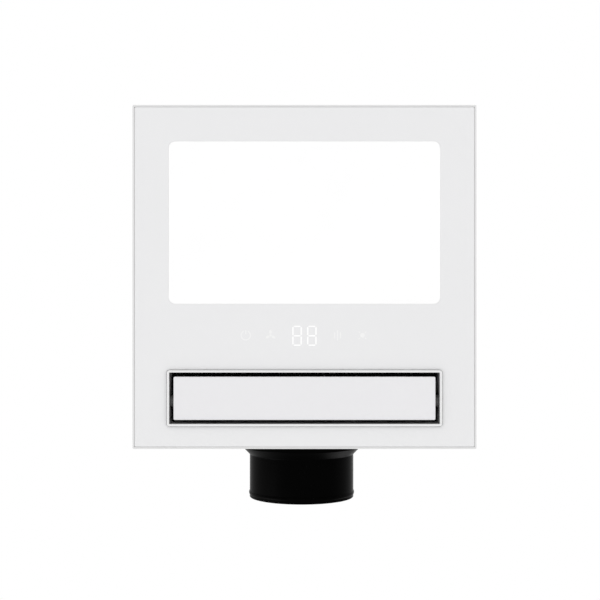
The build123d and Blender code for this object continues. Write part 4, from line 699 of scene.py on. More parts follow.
def stand(place, *turns):
    """A matrix that turns a shape about axes, the last one first, and moves it to a place."""
    matrix = Matrix.Translation(Vector(place))
    for angle, axis in turns:
        matrix = matrix @ Matrix.Rotation(angle, 4, axis)
    return matrix


def moved(shape, matrix):
    """The shape, moved by a matrix."""
    bmesh.ops.transform(shape, matrix=matrix, verts=shape.verts)
    return shape


def turned(profile, steps, closed, place, axis):
    """A turned shape whose axis points along a direction from a place."""
    turn = Vector((0, 0, 1)).rotation_difference(Vector(axis)).to_matrix().to_4x4()
    return moved(lathe(profile, steps, closed), stand(place) @ turn)


def add_shape(shape, other, matrix=Matrix.Identity(4)):
    """Copy another bmesh into this one through a matrix, and free it."""
    mesh = bpy.data.meshes.new("part")
    other.to_mesh(mesh)
    other.free()
    mesh.transform(matrix)
    shape.from_mesh(mesh)
    bpy.data.meshes.remove(mesh)
    return shape


# %% [markdown]
# Many nodes hold several like solids, such as the four screws of a group. This helper finds each
# separate solid in a node, so that a piece can be put exactly where the frame has one.


# %% Separate solids of a node
def solids_of(node):
    """The points of each separate solid in a node, as lists of places."""
    shape = node_shape(node)
    groups = []
    seen = set()
    for start in shape.verts:
        if start in seen:
            continue
        seen.add(start)
        queue = [start]
        for vert in queue:
            for edge in vert.link_edges:
                other = edge.other_vert(vert)
                if other not in seen:
                    seen.add(other)
                    queue.append(other)
        groups.append([vert.co.copy() for vert in queue])
    shape.free()
    return groups


def span(points):
    """The lowest and highest corner of some points."""
    low = Vector([min(point[axis] for point in points) for axis in range(3)])
    high = Vector([max(point[axis] for point in points) for axis in range(3)])
    return low, high


# %% [markdown]
# The face plate is one moulding with two holes. Its front edge is rounded, and it sits in the rim
# with a fine groove all round. The frame leaves that groove wide for clearance, so the moulding is
# a little larger here. Six short tubes on its back take the lamp tray's screws.

# %% Face plate
FACE_HALF = 148.1 * MM
FACE_THICKNESS = 3.0 * MM
FACE_EDGE = 0.1 * MM
FACE_CORNER = 0.8 * MM
WINDOW_Y = 47.4 * MM
WINDOW_HALF_X = 118.6 * MM
WINDOW_HALF_Y = 71.05 * MM
WINDOW_CORNER = 6.0 * MM
OUTLET_Y = -105.7 * MM
OPENING_HALF_X = 117.9 * MM
OPENING_HALF_Y = 22.45 * MM
SLEEVE_WALL = 1.5 * MM
SLEEVE_GAP = 0.15 * MM
BOSS_RADIUS = 4.0 * MM
BOSS_HOLE = 1.65 * MM
BOSS_RISE = 5.5 * MM
BOSS_STEPS = 24


def make_face_plate():
    """The visible plate, with holes for the window and the outlet."""
    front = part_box("face_plate")[0].z
    back = front + FACE_THICKNESS
    rim = rounded_outline(0, 0, FACE_HALF - FACE_EDGE, FACE_HALF - FACE_EDGE, FACE_CORNER)
    window = rounded_outline(0, WINDOW_Y, WINDOW_HALF_X + FACE_EDGE, WINDOW_HALF_Y + FACE_EDGE,
                             WINDOW_CORNER + FACE_EDGE)
    hole = SLEEVE_WALL + SLEEVE_GAP + FACE_EDGE
    outlet = rounded_outline(0, OUTLET_Y, OPENING_HALF_X + hole, OPENING_HALF_Y + hole, FACE_EDGE)
    shape = plate("face_plate_moulding", [rim, window, outlet], front, back, FACE_EDGE)
    boss = section(BOSS_HOLE, BOSS_RADIUS, 0.0, BOSS_RISE)
    tray_low, tray_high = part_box("light_tray")
    for points in solids_of("face_screws"):
        foot, top = span(points)
        middle = (foot + top) / 2
        if tray_low.y < middle.y < tray_high.y:
            add_shape(shape, lathe(boss, BOSS_STEPS, True), stand((middle.x, middle.y, back)))
    hand_over(link_mesh("face_plate_moulding", shape), "face_plate")


make_face_plate()

# %% [markdown]
# The light window is an opal sheet, flush with the face, with a thin flange behind it that the
# lamp tray presses on.

# %% Light window
WINDOW_GAP = 0.05 * MM
WINDOW_EDGE = 0.2 * MM


def make_window():
    """The opal window and its flange."""
    low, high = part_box("light_diffuser")
    front = rounded_outline(0, WINDOW_Y, WINDOW_HALF_X - WINDOW_GAP - WINDOW_EDGE,
                            WINDOW_HALF_Y - WINDOW_GAP - WINDOW_EDGE, WINDOW_CORNER - WINDOW_EDGE)
    shape = plate("light_window", [front], low.z, low.z + FACE_THICKNESS, WINDOW_EDGE)
    flange = rounded_outline(0, WINDOW_Y, high.x - WINDOW_EDGE, (high.y - low.y) / 2 - WINDOW_EDGE,
                             WINDOW_EDGE)
    back = plate("light_window_flange", [flange], low.z + FACE_THICKNESS, high.z, WINDOW_EDGE)
    hand_over(link_mesh("light_window", add_shape(shape, back)), "light_diffuser")


make_window()

# %% [markdown]
# A moulding that runs round a rectangle, such as the outlet's trim, is a profile swept along a
# path. At each stop of the path the profile's points stand off outwards, so an inner corner of
# small radius becomes an outer corner of larger radius, as on the real trim.


# %% Mouldings round a rectangle
def moulding(x, y, half_x, half_y, corner, profile):
    """A closed ring: a profile of (outward, height) swept round a rectangle."""
    shape = bmesh.new()
    rings = []
    for middle_x, middle_y, cosine, sine in corner_stops(x, y, half_x, half_y, corner):
        rings.append([shape.verts.new((middle_x + (corner + outward) * cosine,
                                       middle_y + (corner + outward) * sine, height))
                      for outward, height in profile])
    join_rings(shape, rings)
    return clean(shape)


def arc(centre_out, centre_up, radius, start, end, steps=4):
    """Points of a profile's round stretch, from one angle to another in degrees."""
    points = []
    for step in range(steps + 1):
        angle = math.radians(start + (end - start) * step / steps)
        points.append((centre_out + radius * math.cos(angle), centre_up + radius * math.sin(angle)))
    return points


# %% [markdown]
# The outlet's trim is a pale ring that stands two millimetres proud of the face. Its top is flat
# and bright. A thin black seal is wrapped round its outer side. Its black is painted shade: it
# stands in for the shaded, darkly reflecting outer edge of the ring. As a dark wall, it also
# deepens the real soft shadow that the ring's height casts on the face. The sleeve behind it is
# grey and lies in shade, so the gap round the blade looks like a clean black line with a slightly
# paler wall.

# %% Outlet trim, seal and sleeve
TRIM_TOP = 2.1 * MM
TRIM_EDGE = 0.3 * MM
OPENING_CORNER = 0.4 * MM
SEAL_SHADE_LINE_WIDTH = 0.2 * MM
SEAL_SHADE_LINE_SINK = 0.3 * MM


def outlet_ring(name, profile, **finish):
    """One ring of the outlet, swept round its opening."""
    shape = moulding(0, OUTLET_Y, OPENING_HALF_X, OPENING_HALF_Y, OPENING_CORNER, profile)
    hand_over(link_mesh(name, shape), "outlet_trim", **finish)


def make_trim():
    """The pale ring on the face, the black seal round it as a painted shade line, and the grey
    sleeve behind it.
    """
    low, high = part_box("outlet_trim")
    top = low.z + TRIM_EDGE
    ring = arc(TRIM_EDGE, top, TRIM_EDGE, 180, 270)
    ring += arc(TRIM_TOP - TRIM_EDGE, top, TRIM_EDGE, 270, 360)
    ring += [(TRIM_TOP, FACE_Z), (0.0, FACE_Z)]
    outlet_ring("outlet_trim_ring", ring)
    # The seal's black is painted shade along the ring's outer edge, where the real ring is in
    # shadow.
    inner, outer, foot = TRIM_TOP - SEAL_SHADE_LINE_WIDTH, TRIM_TOP + SEAL_SHADE_LINE_WIDTH, FACE_Z + SEAL_SHADE_LINE_SINK
    seal_shade_line = [(inner, top + SEAL_SHADE_LINE_WIDTH), (TRIM_TOP, top), (TRIM_TOP + SEAL_SHADE_LINE_WIDTH / 2, top),
            (outer, top + SEAL_SHADE_LINE_WIDTH), (outer, foot), (inner, foot)]
    outlet_ring("outlet_seal", seal_shade_line, slot="black_rubber")
    end = high.z - TRIM_EDGE
    sleeve = [(0.0, FACE_Z), (SLEEVE_WALL, FACE_Z), (SLEEVE_WALL, end),
              (SLEEVE_WALL - TRIM_EDGE, high.z), (TRIM_EDGE, high.z), (0.0, end)]
    outlet_ring("outlet_sleeve", sleeve, finish=sleeve_grey)


make_trim()

# %% [markdown]
# Some mouldings are made of several simple parts, which a Boolean modifier joins into one closed
# shape. Where two surfaces cross, it can leave faces as thin as a hair, so these are merged away.


# %% Closed shapes from several
JOIN_DOUBLES = 5 * MICRON
JOIN_SLIVER = 2 * MICRON


def block(low, high):
    """A closed block between two corners, in a bmesh."""
    shape = bmesh.new()
    bmesh.ops.create_cube(shape, size=1.0)
    size = Vector(high) - Vector(low)
    bmesh.ops.scale(shape, vec=size, verts=shape.verts)
    bmesh.ops.translate(shape, vec=(Vector(low) + Vector(high)) / 2, verts=shape.verts)
    return shape


def mend_joins(piece):
    """Merge the hair-thin faces that a Boolean leaves where surfaces cross."""
    shape = bmesh.new()
    shape.from_mesh(piece.data)
    bmesh.ops.remove_doubles(shape, verts=shape.verts, dist=JOIN_DOUBLES)
    bmesh.ops.dissolve_degenerate(shape, edges=shape.edges, dist=JOIN_SLIVER)
    shape.to_mesh(piece.data)
    shape.free()
    return piece


def combine(name, first, others, operation="UNION"):
    """Join closed shapes into one, or cut the others out of the first."""
    piece = link_mesh(name, first)
    tools = bpy.data.collections.new(name + "_tools")
    bpy.context.scene.collection.children.link(tools)
    for index, other in enumerate(others):
        tool = link_mesh(f"{name}_tool_{index}", other)
        bpy.context.scene.collection.objects.unlink(tool)
        tools.objects.link(tool)
    change = piece.modifiers.new("combine", "BOOLEAN")
    change.operation = operation
    change.operand_type = "COLLECTION"
    change.collection = tools
    change.solver = "EXACT"
    settle(piece)
    for tool in list(tools.objects):
        bpy.data.objects.remove(tool)
    bpy.data.collections.remove(tools)
    return mend_joins(piece)


# %% [markdown]
# The blade is a flat moulding with rounded edges. Behind it are two low ribs, and an ear and a
# round stub at each end.

# %% Louvre blade
BLADE_THICKNESS = 2.5 * MM
BLADE_EDGE = 0.6 * MM
BLADE_CORNER = 1.0 * MM
BLADE_RIB = 2.5 * MM
BLADE_RIB_WIDTH = 1.8 * MM
BLADE_RIB_Y = 10.0 * MM
BLADE_RIB_INSET = 15.0 * MM
EAR_THICKNESS = 2.5 * MM
EAR_HALF = 4.5 * MM
STUB_RADIUS = 3.5 * MM
BLADE_HALF_X = 114.3 * MM
BLADE_HALF_Y = 18.9 * MM
BLADE_Y = OUTLET_Y - 0.2 * MM
HINGE_Y = -108.7 * MM
HINGE_Z = -4.0 * MM
EAR_STEPS = 48
STUB_STEPS = 32


def make_blade():
    """The outlet's swinging blade."""
    low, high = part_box("louvre_blade")
    outline = rounded_outline(0, BLADE_Y, BLADE_HALF_X - BLADE_EDGE, BLADE_HALF_Y - BLADE_EDGE,
                              BLADE_CORNER - BLADE_EDGE / 2)
    back = low.z + BLADE_THICKNESS
    root = back - BLADE_EDGE
    shape = plate("louvre_blade_moulding", [outline], low.z, back, BLADE_EDGE)
    reach = BLADE_HALF_X - BLADE_RIB_INSET
    ear_x = BLADE_HALF_X - EAR_THICKNESS
    stub = high.x - BLADE_HALF_X + EAR_THICKNESS
    rounds = ((EAR_HALF, EAR_THICKNESS, EAR_STEPS), (STUB_RADIUS, stub, STUB_STEPS))
    parts = []
    for side in (-1, 1):
        rib_y = OUTLET_Y + side * BLADE_RIB_Y
        parts.append(block((-reach, rib_y - BLADE_RIB_WIDTH / 2, root),
                           (reach, rib_y + BLADE_RIB_WIDTH / 2, back + BLADE_RIB)))
        near, far = sorted((side * ear_x, side * BLADE_HALF_X))
        parts.append(block((near, HINGE_Y - EAR_HALF, root), (far, HINGE_Y + EAR_HALF, HINGE_Z)))
        for radius, rise, steps in rounds:
            parts.append(turned(section(0.0, radius, 0.0, rise), steps, False,
                                (side * ear_x, HINGE_Y, HINGE_Z), (side, 0, 0)))
    hand_over(combine("louvre_blade_moulding", shape, parts), "louvre_blade")


make_blade()

# %% [markdown]
# The display's figures are thin bars with pointed ends that show through the face. Each stands a
# hair's breadth proud, so that nothing flickers where two flat faces would lie in one plane. The
# four small icons keep the shapes that the frame gives them, in their own paler print.

# %% Display figures and icons
DISPLAY_Y = -51.3 * MM
DIGIT_HALF_X = 4.2 * MM
DIGIT_HALF_Y = 8.8 * MM
DIGIT_PITCH = 12.9 * MM
STROKE = 1.2 * MM
BAR_GAP = 0.4 * MM
PROUD = 0.03 * MM
INLAY = 0.4 * MM


def two_layers(shape, outline, low, high):
    """An outline's points at two heights, joined by a wall of faces."""
    bottom = [shape.verts.new((point.x, point.y, low)) for point in outline]
    top = [shape.verts.new((point.x, point.y, high)) for point in outline]
    for index in range(len(outline)):
        after = (index + 1) % len(outline)
        shape.faces.new((bottom[index], bottom[after], top[after], top[index]))
    return bottom, top


def figure_bar(shape, start, end):
    """A bar with pointed ends from one point to another, in the face's plane."""
    along = (Vector(end) - Vector(start)).normalized()
    across = Vector((-along.y, along.x)) * STROKE / 2
    first = Vector(start) + along * BAR_GAP
    last = Vector(end) - along * BAR_GAP
    tip = along * STROKE / 2
    outline = [first, first + tip - across, last - tip - across, last, last - tip + across,
               first + tip + across]
    for layer in two_layers(shape, outline, FACE_Z - PROUD, FACE_Z + INLAY):
        shape.faces.new(layer)


def make_figures():
    """Two figures of seven bars each."""
    shape = bmesh.new()
    half_x = DIGIT_HALF_X - STROKE / 2
    half_y = DIGIT_HALF_Y - STROKE / 2
    for side in (-1, 1):
        x = side * DIGIT_PITCH / 2
        for row in (-1, 0, 1):
            y = DISPLAY_Y + row * half_y
            figure_bar(shape, (x - half_x, y), (x + half_x, y))
        for edge in (x - half_x, x + half_x):
            for row in (-1, 1):
                figure_bar(shape, (edge, DISPLAY_Y), (edge, DISPLAY_Y + row * half_y))
    bmesh.ops.recalc_face_normals(shape, faces=shape.faces)
    hand_over(link_mesh("display_figures", shape), "display_digits")


def make_icons():
    """The icons, raised a hair's breadth out of the face."""
    shape = merged_copy("display_icons")
    bmesh.ops.translate(shape, verts=shape.verts, vec=(0.0, 0.0, -PROUD))
    hand_over(link_mesh("display_icon_row", shape), "display_icons", finish=icon_print)


make_figures()
make_icons()

# %% [markdown]
# The spigot is one black moulding: a square flange with rounded corners, a shoulder, a short cone
# and a tube with a bead near its end. A turned profile gives all the round parts, with a small
# radius at each corner, so that the cone and the bead catch the light as they do in the picture.

# %% Spigot
SPIGOT_X = 2.4 * MM
SPIGOT_Z = 78.0 * MM
SPIGOT_RADIUS = 49.0 * MM
SPIGOT_BORE = 46.5 * MM
SHOULDER_RADIUS = 56.0 * MM
SHOULDER_BORE = 53.5 * MM
SHOULDER_END = 158.4 * MM
CONE_END = 165.3 * MM
SPIGOT_END = 205.7 * MM
BEAD_AT = 201.3 * MM
BEAD_HALF = 1.0 * MM
BEAD_PROUD = 0.7 * MM
FLANGE_BACK = 141.5 * MM
FLANGE_FRONT = 144.0 * MM
FLANGE_HALF = 59.0 * MM
FLANGE_CORNER = 6.0 * MM
FLAP_Y = 172.0 * MM
FLAP_RADIUS = 45.2 * MM
SEAT_RADIUS = 44.0 * MM
SEAT_HALF = 0.75 * MM
SEAT_SINK = 0.2 * MM
SEAT_FROM_HINGE = 6.0 * MM
SEAT_GAP = 1.9 * MM
FLAP_STEPS = 96
SPIGOT_STEPS = 160
BEAD_ANGLES = range(20, 180, 20)
EDGE = 0.4 * MM


def round_part(profile, steps=SPIGOT_STEPS, closed=True):
    """A turned part of the spigot. Its profile's heights run out of the case, along -Y."""
    return turned(profile, steps, closed, (SPIGOT_X, 0, SPIGOT_Z), (0, -1, 0))


def make_spigot():
    """The round duct spigot with its flange."""
    tube = [(SHOULDER_RADIUS, FLANGE_BACK), (SHOULDER_RADIUS, SHOULDER_END - EDGE),
            (SHOULDER_RADIUS - EDGE / 2, SHOULDER_END), (SPIGOT_RADIUS + EDGE, CONE_END - EDGE),
            (SPIGOT_RADIUS, CONE_END + EDGE), (SPIGOT_RADIUS, BEAD_AT - BEAD_HALF - BEAD_PROUD)]
    tube += [(SPIGOT_RADIUS + BEAD_PROUD * math.sin(math.radians(angle)),
              BEAD_AT - (BEAD_HALF + BEAD_PROUD) * math.cos(math.radians(angle)))
             for angle in BEAD_ANGLES]
    tube += [(SPIGOT_RADIUS, BEAD_AT + BEAD_HALF + BEAD_PROUD), (SPIGOT_RADIUS, SPIGOT_END - EDGE),
             (SPIGOT_RADIUS - EDGE, SPIGOT_END), (SPIGOT_BORE + EDGE, SPIGOT_END),
             (SPIGOT_BORE, SPIGOT_END - EDGE), (SPIGOT_BORE, CONE_END),
             (SHOULDER_BORE, SHOULDER_END), (SHOULDER_BORE, FLANGE_BACK)]
    rim = rounded_outline(0, 0, FLANGE_HALF - EDGE, FLANGE_HALF - EDGE, FLANGE_CORNER - EDGE)
    reach = (SHOULDER_BORE + SHOULDER_RADIUS) / 2 + EDGE
    turns = [2 * math.pi * step / SPIGOT_STEPS for step in range(SPIGOT_STEPS)]
    hole = [(reach * math.cos(turn), reach * math.sin(turn)) for turn in turns]
    flange = plate("spigot_flange", [rim, hole], FLANGE_BACK, FLANGE_FRONT, EDGE)
    moved(flange, stand((SPIGOT_X, 0, SPIGOT_Z), (QUARTER, "X")))
    hand_over(combine("duct_spigot_moulding", round_part(tube), [flange]), "duct_spigot")


make_spigot()

# %% [markdown]
# Inside the spigot hangs a light round flap, which falls shut when the fan stops. It is a thin disc
# with a rolled rim, three stiffening ribs below its hinge and a round barrel along the hinge. A
# narrow ledge inside the tube stops it. The disc is turned and the ribs are joined to it.

# %% Gravity flap and its ledge
FLAP_WALL = 1.2 * MM
FLAP_RIM = 1.8 * MM
FLAP_RIB = 1.0 * MM
FLAP_RIB_HALF = 0.6 * MM
FLAP_RIB_PITCH = 18.0 * MM
FLAP_EDGE = 0.3 * MM
BARREL_RADIUS = 3.0 * MM
BARREL_HALF = 43.2 * MM
BARREL_SIDES = 28


def make_flap():
    """The gravity flap with its rim, ribs and hinge barrel."""
    pin_low, pin_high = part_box("backdraft_pin")
    hinge = (pin_low + pin_high) / 2
    front = FLAP_Y + FLAP_WALL / 2
    back = FLAP_Y - FLAP_WALL / 2
    rim = front + FLAP_RIB
    inner = FLAP_RADIUS - FLAP_RIM
    disc = round_part([(0.0, back), (FLAP_RADIUS, back), (FLAP_RADIUS, rim - FLAP_EDGE),
                       (FLAP_RADIUS - FLAP_EDGE, rim), (inner + FLAP_EDGE, rim), (inner, front),
                       (0.0, front)], FLAP_STEPS, False)
    parts = [turned(section(0.0, BARREL_RADIUS, 0.0, 2 * BARREL_HALF), BARREL_SIDES, False,
                    (SPIGOT_X - BARREL_HALF, hinge.y, hinge.z), (1, 0, 0))]
    for step in (-1, 0, 1):
        offset = step * FLAP_RIB_PITCH
        drop = math.sqrt(inner ** 2 - offset ** 2) + FLAP_EDGE
        x = SPIGOT_X + offset
        parts.append(block((x - FLAP_RIB_HALF, -rim + FLAP_EDGE, SPIGOT_Z - drop),
                           (x + FLAP_RIB_HALF, -front + FLAP_EDGE, hinge.z)))
    hand_over(combine("gravity_flap_moulding", disc, parts), "backdraft_flap")


def make_ledges():
    """The two half ledges in the tube that stop the flap, one above and one below the hinge."""
    shape = bmesh.new()
    hinge_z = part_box("backdraft_pin")[0].z
    root = SPIGOT_BORE + SEAT_SINK
    for side in (-1, 1):
        at = FLAP_Y - side * (SEAT_GAP + SEAT_HALF)
        ring = round_part(section(SEAT_RADIUS, root, at - SEAT_HALF, at + SEAT_HALF), FLAP_STEPS)
        everything = ring.verts[:] + ring.edges[:] + ring.faces[:]
        cut = (0, 0, hinge_z - side * SEAT_FROM_HINGE)
        bmesh.ops.bisect_plane(ring, geom=everything, plane_co=cut, plane_no=(0, 0, side),
                               clear_outer=True)
        bmesh.ops.holes_fill(ring, edges=[edge for edge in ring.edges if edge.is_boundary])
        add_shape(shape, clean(ring))
    fix_to_case(link_mesh("gravity_flap_ledges", shape), "spigot_black")


make_flap()
make_ledges()

# %% [markdown]
# The sheet-metal and box parts keep the frame's shape with rounded corners. Each has its own width
# of bevel, in mm.

# %% Softened sheet and box parts
for node, width in (("panel_frame", 0.15), ("ceiling_ring", 0.3), ("housing", 0.25),
                    ("top_lid", 0.35), ("hanger_brackets", 0.4), ("wiring_box", 0.8),
                    ("cable_gland", 0.25), ("control_base", 0.4), ("control_cover", 0.3),
                    ("led_driver", 0.4), ("capacitor", 0.5), ("light_tray", 0.25),
                    ("outlet_duct", 0.2), ("ptc_frame", 0.3), ("terminal_block", 0.3),
                    ("louvre_motor", 0.3), ("damper_motor", 0.3), ("inlet_ring", 0.2)):
    softened(node, width * MM)

# %% [markdown]
# Screws, welds and wires repeat, so Geometry Nodes place them. The tree takes a cloud of points,
# each with a turn of its own, and puts one copy of a model piece on every point. It ends in Realize
# Instances and Set Material, and its result is turned into a plain mesh.

# %% The tree that puts copies on points
random.seed(7)


def set_input(modifier, label, value):
    """Set a tree's input by its socket's identifier."""
    for item in modifier.node_group.interface.items_tree:
        if item.item_type == "SOCKET" and item.in_out == "INPUT" and item.name == label:
            modifier[item.identifier] = value


def make_point_tree():
    """Copies of a model piece on points, each turned by the point's own 'turn'."""
    tree = bpy.data.node_groups.new("copies_on_points", "GeometryNodeTree")
    for label, kind, value in (("Geometry", "Geometry", None), ("Model", "Object", None),
                               ("Size", "Float", 1.0), ("Finish", "Material", None)):
        socket = tree.interface.new_socket(label, in_out="INPUT", socket_type="NodeSocket" + kind)
        if value is not None:
            socket.default_value = value
    tree.interface.new_socket("Geometry", in_out="OUTPUT", socket_type="NodeSocketGeometry")
    start = add_node(tree, "NodeGroupInput", {})
    model = add_node(tree, "GeometryNodeObjectInfo", {"Object": start["Model"]})
    turn = add_node(tree, "GeometryNodeInputNamedAttribute", {"Name": "turn"},
                    data_type="FLOAT_VECTOR")
    rotation = add_node(tree, "FunctionNodeEulerToRotation", {"Euler": turn["Attribute"]})
    copies = add_node(tree, "GeometryNodeInstanceOnPoints", {
        "Points": start["Geometry"], "Instance": model["Geometry"],
        "Rotation": rotation["Rotation"], "Scale": start["Size"]})
    real = add_node(tree, "GeometryNodeRealizeInstances", {"Geometry": copies["Instances"]})
    finish = add_node(tree, "GeometryNodeSetMaterial", {
        "Geometry": real["Geometry"], "Material": start["Finish"]})
    feed(tree, tree.nodes.new("NodeGroupOutput"), {"Geometry": finish["Geometry"]})
    return tree


point_tree = make_point_tree()


def copies_on_points(name, model, places, slot):
    """Copies of a model. A place is a point, the direction of the model's Z, and its spin."""
    mesh = bpy.data.meshes.new(name)
    mesh.from_pydata([tuple(point) for point, direction, spin in places], [], [])
    turn = mesh.attributes.new("turn", "FLOAT_VECTOR", "POINT")
    for own, (point, direction, spin) in zip(turn.data, places):
        lean = Vector((0, 0, 1)).rotation_difference(Vector(direction)).to_matrix()
        own.vector = (lean @ Matrix.Rotation(spin, 3, "Z")).to_euler()
    piece = add_object(name, mesh)
    modifier = piece.modifiers.new("copies", "NODES")
    modifier.node_group = point_tree
    set_input(modifier, "Model", model)
    set_input(modifier, "Finish", finishes[slot])
    settle(piece)
    bpy.data.objects.remove(model)
    return piece


def take_mesh(shape, piece):
    """Move a finished object's mesh into a bmesh and remove the object."""
    shape.from_mesh(piece.data)
    bpy.data.objects.remove(piece)


print("tree:", point_tree.name)

# %% [markdown]
# The model screw has a domed head with a cross cut into it. Its place, direction and length come
# from the frame: each solid of a screw group is measured, and its wide end is the head.

# %% Screws
HEAD_RADIUS = 3.0 * MM
HEAD_HEIGHT = 2.2 * MM
HEAD_EDGE = 0.15 * MM
HEAD_SIDE = 0.35
DOME_ANGLES = (20, 40, 60, 78)
SHANK_RADIUS = 1.5 * MM
TIP_WIDTH = 0.7
TIP_LENGTH = 0.6
CROSS_HALF = 1.7 * MM
CROSS_WIDTH = 0.75 * MM
CROSS_DEPTH = 1.3 * MM
CROSS_CLEAR = 1.0 * MM
SCREW_STEPS = 28
BEYOND_SHANK = 2 * SHANK_RADIUS * 0.9


def model_screw(length):
    """A pan-head screw with a cross recess. Its seat is at the origin and its head points up."""
    side = HEAD_HEIGHT * HEAD_SIDE
    profile = [(0.0, -length), (SHANK_RADIUS * TIP_WIDTH, -length),
               (SHANK_RADIUS, -length + SHANK_RADIUS * TIP_LENGTH), (SHANK_RADIUS, 0.0),
               (HEAD_RADIUS - HEAD_EDGE, 0.0), (HEAD_RADIUS, HEAD_EDGE), (HEAD_RADIUS, side)]
    for angle in map(math.radians, DOME_ANGLES):
        profile.append((HEAD_RADIUS * math.cos(angle),
                        HEAD_HEIGHT * (HEAD_SIDE + (1 - HEAD_SIDE) * math.sin(angle))))
    profile.append((0.0, HEAD_HEIGHT))
    low, top = HEAD_HEIGHT - CROSS_DEPTH, HEAD_HEIGHT + CROSS_CLEAR
    cuts = [block((-x, -y, low), (x, y, top))
            for x, y in ((CROSS_HALF, CROSS_WIDTH / 2), (CROSS_WIDTH / 2, CROSS_HALF))]
    return combine("model_screw", lathe(profile, SCREW_STEPS, False), cuts, "DIFFERENCE")


def screw_places(node):
    """For each screw in a group: its seat, the way its head points, and its shank's length."""
    found = []
    for points in solids_of(node):
        low, high = span(points)
        size = high - low
        axis = max(range(3), key=lambda index: size[index])
        middle = (low + high) / 2
        wide = []
        for point in points:
            offset = point - middle
            offset[axis] = 0.0
            if offset.length > BEYOND_SHANK:
                wide.append(point[axis])
        end = 1 if sum(wide) / len(wide) > middle[axis] else -1
        direction = Vector([end if index == axis else 0 for index in range(3)])
        seat = middle.copy()
        seat[axis] = (high[axis] if end > 0 else low[axis]) - end * HEAD_HEIGHT
        found.append((seat, direction, round((size[axis] - HEAD_HEIGHT) / MM, 1)))
    return found


def make_screws(node):
    """Cross-head screws in the places of one group."""
    found = screw_places(node)
    lengths = sorted({length for seat, direction, length in found})
    print(node, "lengths in mm:", lengths)
    shape = bmesh.new()
    for length in lengths:
        places = [(seat, direction, random.uniform(0, math.pi)) for seat, direction, own in found
                  if own == length]
        screws = copies_on_points("screws", model_screw(length * MM), places, slot_of[node])
        take_mesh(shape, screws)
    hand_over(link_mesh(node + "_cross_head", shape), node)


for node in ("case_screws", "face_screws", "fan_screws"):
    make_screws(node)

# %% [markdown]
# The case is folded from one sheet, and its front and back walls carry narrow laps that are spot
# welded to the sides. A lap is a thin plate with rounded corners. A weld is a shallow round dent
# with a faint ridge, and a row of them down each lap is one more cloud of points.

# %% Corner laps and spot welds
CASE_HALF = 140.0 * MM
LAP_WIDTH = 13.0 * MM
LAP_THICKNESS = 0.5 * MM
LAP_LOW = 3.0 * MM
LAP_HIGH = 141.0 * MM
LAP_EDGE = 0.15 * MM
LAP_CORNER = 1.2 * MM
LAP_X = CASE_HALF - LAP_WIDTH / 2
WELDS_A_LAP = 7
WELD_RADIUS = 2.3 * MM
WELD_BACK = 0.3 * MM
WELD_TOP = ((1.0, 0.0), (0.86, 0.18), (0.7, 0.108), (0.4, 0.03), (0.0, 0.02))
WELD_STEPS = 20


def make_laps():
    """Four narrow laps on the front and back walls, next to the corners."""
    shape = bmesh.new()
    half_x, half_z = LAP_WIDTH / 2 - LAP_EDGE, (LAP_HIGH - LAP_LOW) / 2 - LAP_EDGE
    for x in (-LAP_X, LAP_X):
        outline = rounded_outline(x, (LAP_LOW + LAP_HIGH) / 2, half_x, half_z, LAP_CORNER)
        for y in (-CASE_HALF, CASE_HALF + LAP_THICKNESS):
            lap = plate("case_lap", [outline], 0.0, LAP_THICKNESS, LAP_EDGE)
            add_shape(shape, lap, stand((0, y, 0), (QUARTER, "X")))
    fix_to_case(link_mesh("case_corner_laps", shape))


def model_weld():
    """A shallow dent with a faint ridge round it, which stands on its back. Its top's profile is
    given as shares of its radius and heights in mm."""
    profile = [(0.0, -WELD_BACK), (WELD_RADIUS, -WELD_BACK)]
    profile += [(WELD_RADIUS * share, height * MM) for share, height in WELD_TOP]
    return link_mesh("model_weld", lathe(profile, WELD_STEPS, False))


def weld_places():
    """Where the welds sit: down each lap."""
    pitch = (LAP_HIGH - LAP_LOW) / WELDS_A_LAP
    levels = [LAP_LOW + (index + 0.5) * pitch for index in range(WELDS_A_LAP)]
    y = CASE_HALF + LAP_THICKNESS
    return [((x, side * y, z), (0, side, 0), 0.0)
            for x in (-LAP_X, LAP_X) for side in (-1, 1) for z in levels]


make_laps()
fix_to_case(copies_on_points("case_spot_welds", model_weld(), weld_places(), "case_steel"))

# %% [markdown]
# Beads are pressed into the lid and the side walls to stiffen the sheet. The frame draws each as a
# low step. A real press leaves a soft slope at its foot, so a thin sloping skirt is swept round
# every step, and its shading makes the beads readable from afar.

# %% Slopes at the feet of the pressed beads
FAN_X = 28.0 * MM
FAN_Y = 33.0 * MM
SLOPE = 2.6 * MM
SLOPE_SINK = 0.2 * MM
BEAD_HEIGHT = 0.8 * MM
LID_TOP = 151.0 * MM
LID_FRAME_HALF = 60.0 * MM
LID_FRAME_BAND = 6.0 * MM
LID_FRAME_CORNER = 8.0 * MM
LID_RIB_X = -88.0 * MM
LID_RIB_HALF_X = 30.0 * MM
LID_RIB_HALF_Y = 4.5 * MM
LID_RIB_PITCH = 62.0 * MM
WALL_BEAD_START = -110.0 * MM
WALL_BEAD_END = 66.0 * MM
WALL_BEAD_HALF = 4.0 * MM
WALL_BEAD_LEVELS = (20.0 * MM, 134.0 * MM)
BEAD_CORNER = 3.5 * MM
SLOPE_STOPS = ((1.0, 0.0), (0.6, 0.22), (0.25, 0.72), (0.0, 0.97))


def slope_profile(base, side=1):
    """A sloping skirt from a bead's top down to the sheet. The side is -1 for an inner edge."""
    foot = base - SLOPE_SINK
    slope = [(side * SLOPE * share, base + BEAD_HEIGHT * rise) for share, rise in SLOPE_STOPS]
    return [(-side * SLOPE_SINK, foot), (side * SLOPE, foot), *slope,
            (-side * SLOPE_SINK, base + BEAD_HEIGHT)]


